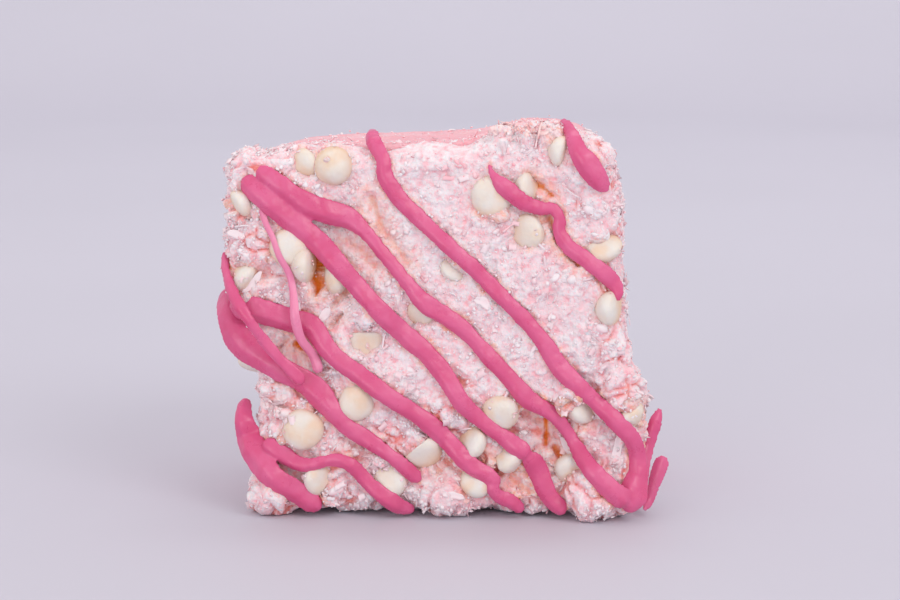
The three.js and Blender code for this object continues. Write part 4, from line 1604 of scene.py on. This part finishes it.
RULES: dict[BitKind, BitRule] = {
    BitKind.DUST: BitRule(3200, 2400, (0.22, 0.42), (0.2, 0.36), (0.16, 0.26), (-0.10, 0.02), 90, 0.3, 0.12),
    BitKind.GRIT: BitRule(3200, 2200, (0.3, 0.65), (0.3, 0.5), (0.16, 0.30), (-0.12, 0.02), 40, 0.9, 0.05),
    BitKind.CRUMB: BitRule(2100, 700, (0.6, 1.2), (0.5, 0.9), (0.35, 0.6), (-0.32, -0.12), 50, 0.97, 0.05),
    BitKind.CLUMP: BitRule(150, 10, (1.2, 2.2), (1.0, 1.8), (0.8, 1.3), (-0.75, -0.4), 50, 0.97, 0.05),
    BitKind.FLAKE: BitRule(420, 60, (0.8, 1.6), (0.6, 1.1), (0.12, 0.2), (-0.1, 0.1), 24, 0.97, 0.03),
    BitKind.SHRED: BitRule(110, 60, (1.2, 2.6), (0.35, 0.6), (0.2, 0.3), (-0.05, 0.15), 16, 0.97, 0.06),
    BitKind.FLUFF: BitRule(800, 260, (0.5, 1.2), (0.12, 0.22), (0.1, 0.18), (-0.05, 0.2), 40, 0.93, 0.1),
}


class Shapes:
    """Small coconut shapes that the loose pieces are copies of."""

    variants = 6

    @staticmethod
    def take(piece: bpy.types.Object) -> tuple[np.ndarray, np.ndarray]:
        """Reads a shape's points and triangles, centred, and removes its object.

        Args:
            piece: The shape's object.

        Returns:
            The points, scaled to 1 along X, Y and Z, and the triangles.
        """
        modify(piece, "TRIANGULATE")
        points = points_of(piece)
        triangles = np.empty(len(piece.data.polygons) * 3, np.int32)
        piece.data.polygons.foreach_get("vertices", triangles)
        bpy.data.objects.remove(piece)
        points -= (points.min(0) + points.max(0)) / 2
        return points / np.ptp(points, axis=0).max(), triangles.reshape(-1, 3)

    @classmethod
    def strip(cls, sides: int, steps: int, rng: np.random.Generator) -> tuple[np.ndarray, np.ndarray]:
        """Extrudes a bent, tapered strip along X.

        Args:
            sides: How many sides its section has.
            steps: How many times it is extruded.
            rng: Source of chance.

        Returns:
            Its points and triangles.
        """
        bpy.ops.object.select_all(action="DESELECT")
        bpy.ops.mesh.primitive_circle_add(vertices=sides, radius=0.5, fill_type="NGON", rotation=(0, math.pi / 2, 0))
        bpy.ops.object.transform_apply(location=True, rotation=True, scale=True)
        piece = bpy.context.object
        bpy.ops.object.mode_set(mode="EDIT")
        bpy.ops.mesh.select_all(action="SELECT")
        bend, sway = rng.uniform(-0.5, 0.5), rng.uniform(-0.3, 0.3)
        for step in range(1, steps + 1):
            share = step / steps
            move = (1.0, sway * math.cos(3 * share), bend * (2 * share - 1) * 1.4)
            bpy.ops.mesh.extrude_region_move(TRANSFORM_OT_translate={"value": move})
            size = rng.uniform(0.75, 1.15) if step < steps else 0.55
            bpy.ops.transform.resize(value=(1, size, size))
        bpy.ops.mesh.select_all(action="SELECT")
        bpy.ops.mesh.normals_make_consistent(inside=False)
        bpy.ops.object.mode_set(mode="OBJECT")
        points, triangles = cls.take(piece)
        points[:, 0] /= np.ptp(points[:, 0])
        points[:, 1] /= np.ptp(points[:, 1])
        points[:, 2] *= 1.6 / np.ptp(points[:, 2])
        return points, triangles

    @classmethod
    def flake(cls, rng: np.random.Generator) -> tuple[np.ndarray, np.ndarray]:
        """Curls a small sheet with an uneven outline and gives it thickness.

        Args:
            rng: Source of chance.

        Returns:
            Its points and triangles.
        """
        bpy.ops.object.select_all(action="DESELECT")
        bpy.ops.mesh.primitive_grid_add(x_subdivisions=3, y_subdivisions=2, size=1)
        piece = bpy.context.object
        points = points_of(piece)
        points[:, :2] *= rng.uniform(0.72, 1.2, (len(points), 2))
        curl, twist = rng.uniform(0.2, 0.9), rng.uniform(-0.5, 0.5)
        points[:, 2] = curl * points[:, 0] ** 2 + twist * points[:, 0] * points[:, 1]
        move_points(piece, points)
        modify(piece, "SOLIDIFY", thickness=0.14, offset=0)
        return cls.take(piece)

    @classmethod
    def crumb(cls, detail: int, rng: np.random.Generator) -> tuple[np.ndarray, np.ndarray]:
        """Makes an uneven nugget.

        Args:
            detail: 0 for a grain of eight faces, 1 for a crumb and 2 for a clump.
            rng: Source of chance.

        Returns:
            Its points and triangles.
        """
        bpy.ops.object.select_all(action="DESELECT")
        if detail:
            bpy.ops.mesh.primitive_ico_sphere_add(subdivisions=detail, radius=0.5)
        else:
            bpy.ops.mesh.primitive_uv_sphere_add(segments=4, ring_count=2, radius=0.5)
        piece = bpy.context.object
        bpy.ops.object.mode_set(mode="EDIT")
        bpy.ops.mesh.select_all(action="SELECT")
        roughness = (0.12, 0.16, 0.09)[detail]
        bpy.ops.transform.vertex_random(offset=roughness, seed=int(rng.integers(1, 1000)))
        bpy.ops.object.mode_set(mode="OBJECT")
        return cls.take(piece)

    @classmethod
    def all(cls, kind: BitKind, rng: np.random.Generator) -> list[tuple[np.ndarray, np.ndarray]]:
        """Makes the variants of one kind.

        Args:
            kind: The kind of loose coconut.
            rng: Source of chance.

        Returns:
            The shapes.
        """
        makers = {
            BitKind.DUST: lambda: cls.crumb(0, rng),
            BitKind.GRIT: lambda: cls.crumb(1, rng),
            BitKind.CRUMB: lambda: cls.crumb(1, rng),
            BitKind.CLUMP: lambda: cls.crumb(2, rng),
            BitKind.FLAKE: lambda: cls.flake(rng),
            BitKind.SHRED: lambda: cls.strip(4, 4, rng),
            BitKind.FLUFF: lambda: cls.strip(3, 2, rng),
        }
        return [makers[kind]() for _ in range(cls.variants)]


@dataclass
class LooseCoconut:
    """Shreds, flakes, crumbs and fluff on the crust, and strays down the sides."""

    core: bpy.types.Object
    foam: bpy.types.Object
    face: Face
    route: list[tuple[Vector, float]]
    chips: list[bpy.types.Object]

    def build(self) -> None:
        """Makes one piece for each kind of loose coconut."""
        rng = np.random.default_rng(SEED + 2)
        solid = self.solid_tree()
        crust, sides = self.crust_weights(), self.side_weights()
        crust_patches, side_patches = self.patchiness(self.core), self.patchiness(self.foam)
        for kind, rule in RULES.items():
            shapes = Shapes.all(kind, rng)
            spread = [(1 - rule.patchy) + rule.patchy * p for p in (crust_patches, side_patches)]
            patches = [
                Patch.on(self.core, crust * spread[0], rule.crust_count, rng),
                Patch.on(self.foam, sides * spread[1], rule.side_count, rng),
            ]
            bits = Bits.none()
            for patch in patches:
                clear = self.is_clear(patch, solid, rule.length[1] * 0.28 * MM)
                self.lay(bits, patch.keep(clear), shapes, rule, rng)
            if kind is BitKind.DUST:
                self.dust_chips(bits, shapes, rule, rng)
            piece = bits.make(kind.value)
            finish_piece(piece, CoconutFinish().pieces(kind.value), "coconut")

    def patchiness(self, piece: bpy.types.Object) -> np.ndarray:
        """Gives where larger bits gather on a mesh's faces, from 0 to 1."""
        middles, _ = face_middles(piece)
        patches = smooth_step(noise_at(middles, 3.4 * MM, 2, 12.5), -0.05, 0.4)
        return patches * (0.15 + 0.85 * Crust.roughness(middles, self.face)) + 0.03

    def crust_weights(self) -> np.ndarray:
        """Gives how much each face of the core attracts loose coconut."""
        middles, normals = face_middles(self.core)
        depth = self.face.depth_of(middles)
        shown = smooth_step(depth, 8.4 * MM, 7.0 * MM) * (normals[:, 1] < 0.75)
        off_floor = smooth_step(normals[:, 2], -0.97, -0.6)
        # Loose pieces keep out of the crevices' painted orange shade.
        _, crevice_shade = Crust.crevices(middles, self.face)
        middle = self.face.point(-5, 43.4)
        across = np.exp(-(((middles[:, 0] - middle.x) / (10.5 * MM)) ** 4))
        bare = across * smooth_step(middles[:, 2], middle.z - 0.8 * MM, middle.z + 0.8 * MM)
        gather = (1 + 1.6 * self.tuft(middles)) * (1 - 0.93 * face_values(self.core, "cleft"))
        return shown * off_floor * (1 - smooth_step(crevice_shade, 0.15, 0.5)) * (1 - 0.98 * bare) * gather + 1e-9

    def tuft(self, points: np.ndarray) -> np.ndarray:
        """Gives how near points are to the middle of the tuft on the top edge, from 0 to 1."""
        middle = self.face.point(*TUFT)
        across, up = points[:, 0] - middle.x, points[:, 2] - middle.z
        return np.exp(-((across / (4.2 * MM)) ** 2) - (up / (1.3 * MM)) ** 2)

    def side_weights(self) -> np.ndarray:
        """Gives how much each face of the foam attracts loose coconut."""
        middles, normals = face_middles(self.foam)
        depth = self.face.depth_of(middles)
        ragged = noise_at(middles, 6 * MM, 2, 5.5) * 3.0 * MM
        near = 1 - smooth_step(depth + ragged, 7.5 * MM, 13 * MM)
        bare_top = np.exp(-(((middles[:, 0] - self.face.point(-5, 45).x) / (11 * MM)) ** 4))
        near *= 1 - 0.9 * bare_top * (normals[:, 2] > 0.3)
        shown = (normals[:, 2] > -0.6) * (normals[:, 1] > -0.6)
        return (near + 0.02) * shown + 1e-9

    def solid_tree(self) -> KDTree:
        """Gathers the strands' middle points, for finding what lies under them."""
        tree = KDTree(len(self.route))
        for index, (point, _) in enumerate(self.route):
            tree.insert((point.x, 0, point.z), index)
        tree.balance()
        return tree

    def is_clear(self, patch: Patch, strands: KDTree, margin: float) -> np.ndarray:
        """Finds the places that no strand or chip covers.

        Args:
            patch: The places.
            strands: The strands' middle points.
            margin: How far a strand's cover reaches past most of its width, in metres.

        Returns:
            True for each place that is clear.
        """
        clear = np.ones(len(patch.places), bool)
        for chip in self.chips:
            points = points_of(chip)
            radius = np.ptp(points, axis=0).max() / 2
            clear &= np.linalg.norm(patch.places - points.mean(0), axis=1) > radius * 0.95
        for index, place in enumerate(patch.places):
            _, nearest, distance = strands.find((place[0], 0, place[2]))
            point, half = self.route[nearest]
            if distance < half * 0.8 + margin and point.y - half < place[1] < point.y + 4 * MM:
                clear[index] = False
        return clear

    def dust_chips(self, bits: Bits, shapes: list, rule: BitRule, rng: np.random.Generator) -> None:
        """Lays a little coconut on the chips, in patches that start at their edges.

        Args:
            bits: Where the copies are gathered.
            shapes: The shapes to copy.
            rule: The kind's sizes and how it lies.
            rng: Source of chance.
        """
        for chip in self.chips:
            middles, normals = face_middles(chip)
            edge = smooth_step(normals[:, 1], -0.65, -0.1) * (normals[:, 1] < 0.4)
            patchy = smooth_step(noise_at(middles, 1.8 * MM, 1, 2.0), -0.1, 0.3)
            self.lay(bits, Patch.on(chip, edge * patchy + 0.001, 14, rng), shapes, rule, rng)

    def lay(self, bits: Bits, patch: Patch, shapes: list, rule: BitRule, rng: np.random.Generator) -> None:
        """Lays copies of the shapes on the places.

        Args:
            bits: Where the copies are gathered.
            patch: The places.
            shapes: The shapes to copy.
            rule: The kind's sizes and how it lies.
            rng: Source of chance.
        """
        count = len(patch.places)
        which = rng.integers(0, len(shapes), count)
        sizes = np.stack([rng.uniform(*rule.length, count), rng.uniform(*rule.width, count),
                          rng.uniform(*rule.thickness, count)], 1) * MM
        normals = patch.normals + rng.normal(0, math.radians(rule.tilt) * 0.6, (count, 3))
        normals /= np.linalg.norm(normals, axis=1)[:, None]
        along = np.cross(normals, rng.normal(0, 1, (count, 3)))
        along /= np.linalg.norm(along, axis=1)[:, None]
        pitch = rng.normal(0, math.radians(rule.tilt) * 0.5, count)[:, None]
        long_axis = along * np.cos(pitch) + normals * np.sin(pitch)
        up_axis = normals * np.cos(pitch) - along * np.sin(pitch)
        side_axis = np.cross(up_axis, long_axis)
        turns = np.stack([long_axis, side_axis, up_axis], 2) * sizes[:, None, :]
        lift = rng.uniform(*rule.lift, count)[:, None] * MM
        tuft = self.tuft(patch.places)
        places = patch.places + patch.normals * (lift + tuft[:, None] * rng.uniform(0, 0.25, (count, 1)) * MM)
        pinkness = noise_at(places, 5 * MM, 2, 4.0) * 0.7 + rule.blush
        # The coconut's own pink, plus painted pink shade on bits that lie low.
        tints = np.clip(pinkness + rng.normal(0, 0.16, count) - lift[:, 0] / MM * 0.25, 0, 1)
        tints *= 1 - 0.65 * Crust.roughness(places, self.face)
        _, crevice_shade = Crust.crevices(places, self.face)
        # Painted orange shade on bits in the crevices, and the tuft's own orange tone.
        warmths = np.clip(crevice_shade * 0.6 + tuft * rng.uniform(-0.1, 0.55, count), 0, 1)
        for index, shape in enumerate(shapes):
            chosen = which == index
            bits.add(shape, turns[chosen], places[chosen], tints[chosen], warmths[chosen])


# ---------------------------------------------------------------------------------------------
# The studio
# ---------------------------------------------------------------------------------------------


@dataclass
class Studio:
    """A pale sweep, soft lights and the camera."""

    azimuth: float = 4.0
    elevation: float = 9.0
    lens: float = 100.0
    distance: float = 0.311

    def build(self) -> None:
        """Makes the floor, the lights and the camera."""
        low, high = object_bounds()
        middle = (Vector(low) + Vector(high)) / 2
        self.sweep()
        self.lights(middle)
        self.camera(middle)

    def sweep(self) -> None:
        """Extrudes the floor up into a backdrop with a wide bend."""
        bpy.ops.object.select_all(action="DESELECT")
        bpy.ops.mesh.primitive_plane_add(size=1.6, location=(0, -0.25, 0))
        floor = bpy.context.object
        floor.name = "floor"
        bpy.ops.object.transform_apply(location=True, rotation=True, scale=True)
        bpy.ops.object.mode_set(mode="EDIT")
        bpy.ops.mesh.select_mode(type="EDGE")
        bpy.ops.mesh.select_all(action="DESELECT")
        bpy.ops.object.mode_set(mode="OBJECT")
        for edge in floor.data.edges:
            edge.select = all(floor.data.vertices[v].co.y > 0.5 for v in edge.vertices)
        bpy.ops.object.mode_set(mode="EDIT")
        radius, steps = 0.25, 12
        for step in range(1, steps + 1):
            turn, last = (math.pi / 2 * s / steps for s in (step, step - 1))
            forward = radius * (math.sin(turn) - math.sin(last))
            upward = radius * (math.cos(last) - math.cos(turn))
            bpy.ops.mesh.extrude_region_move(TRANSFORM_OT_translate={"value": (0, forward, upward)})
        bpy.ops.mesh.extrude_region_move(TRANSFORM_OT_translate={"value": (0, 0, 0.9)})
        bpy.ops.object.mode_set(mode="OBJECT")
        shade_smooth(floor)
        floor.data.materials.append(TableFinish().make())
        floor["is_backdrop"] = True
        log.info("floor laid")

    def lights(self, middle: Vector) -> None:
        """Hangs soft boxes round the piece and fills the room with pale light.

        Args:
            middle: The middle of the piece.
        """
        world = bpy.data.worlds.new("pale_room")
        bpy.context.scene.world = world
        world.use_nodes = True
        background = world.node_tree.nodes["Background"]
        background.inputs["Color"].default_value = (1.0, 0.955, 0.95, 1)
        background.inputs["Strength"].default_value = 0.88
        wall = Vector((0, 0.8, 0.25))
        boxes = {
            "key_box": ((0.42, -0.50, 0.50), middle, 0.40, 1.4),
            "fill_box": ((-0.28, -0.66, 0.12), middle, 0.50, 1.1),
            "wall_box": ((0.0, 0.25, 0.75), wall, 0.5, 1.5),
        }
        for name, (place, target, size, power) in boxes.items():
            light = bpy.data.lights.new(name, "AREA")
            light.shape = "DISK"
            light.size = size
            light.energy = power
            lamp = bpy.data.objects.new(name, light)
            lamp.location = place
            lamp.rotation_euler = (target - Vector(place)).to_track_quat("-Z", "Y").to_euler()
            bpy.context.scene.collection.objects.link(lamp)

    def camera(self, middle: Vector) -> None:
        """Sets the camera a little right of and above the topped face.

        Args:
            middle: The middle of the piece.
        """
        turn, lift = math.radians(self.azimuth), math.radians(self.elevation)
        away = Vector((math.sin(turn) * math.cos(lift), -math.cos(turn) * math.cos(lift), math.sin(lift)))
        lens = bpy.data.cameras.new("camera")
        lens.lens = self.lens
        lens.clip_start = 0.01
        camera = bpy.data.objects.new("camera", lens)
        camera.location = middle + away * self.distance
        camera.rotation_euler = (-away).to_track_quat("-Z", "Y").to_euler()
        bpy.context.scene.collection.objects.link(camera)
        bpy.context.scene.camera = camera


frame_nodes: dict[str, bpy.types.Object] = {}


def main() -> None:
    """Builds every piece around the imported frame."""
    logging.basicConfig(level=logging.INFO, format="%(name)s: %(message)s", force=True)
    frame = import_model()
    frame_nodes.update(frame["nodes"])
    bpy.context.scene.view_settings.view_transform = "Standard"
    face = Face.from_crust()
    Studio().build()
    foam = FoamBlock().build(face)
    chips = Chips().build()
    core = Crust().build(face, chips)
    ground = ground_under([core, *chips])
    drizzle, route = Drizzle().build(face, ground)
    Crust.paint_drizzle_shadow(core, drizzle)
    Chips.paint_chip_edge_shade(chips, core)
    BroadFlakes().build(face, ground)
    LooseCoconut(core, foam, face, route, chips).build()


def distances_to(points: np.ndarray, tree: BVHTree) -> np.ndarray:
    """Gives how far each point is from a tree's surface, in metres, and at most 3 mm."""
    found = (tree.find_nearest(Vector(point), 3 * MM) for point in points)
    return np.array([3 * MM if hit[3] is None else hit[3] for hit in found])


def ground_under(pieces: list[bpy.types.Object]) -> BVHTree:
    """Joins pieces into one tree for finding what a strand lies on.

    Args:
        pieces: The pieces.

    Returns:
        The tree.
    """
    points, faces, count = [], [], 0
    for piece in pieces:
        mesh = piece.data
        points += [vertex.co.copy() for vertex in mesh.vertices]
        faces += [[count + v for v in polygon.vertices] for polygon in mesh.polygons]
        count += len(mesh.vertices)
    return BVHTree.FromPolygons(points, faces)


if __name__ == "__main__":
    main()
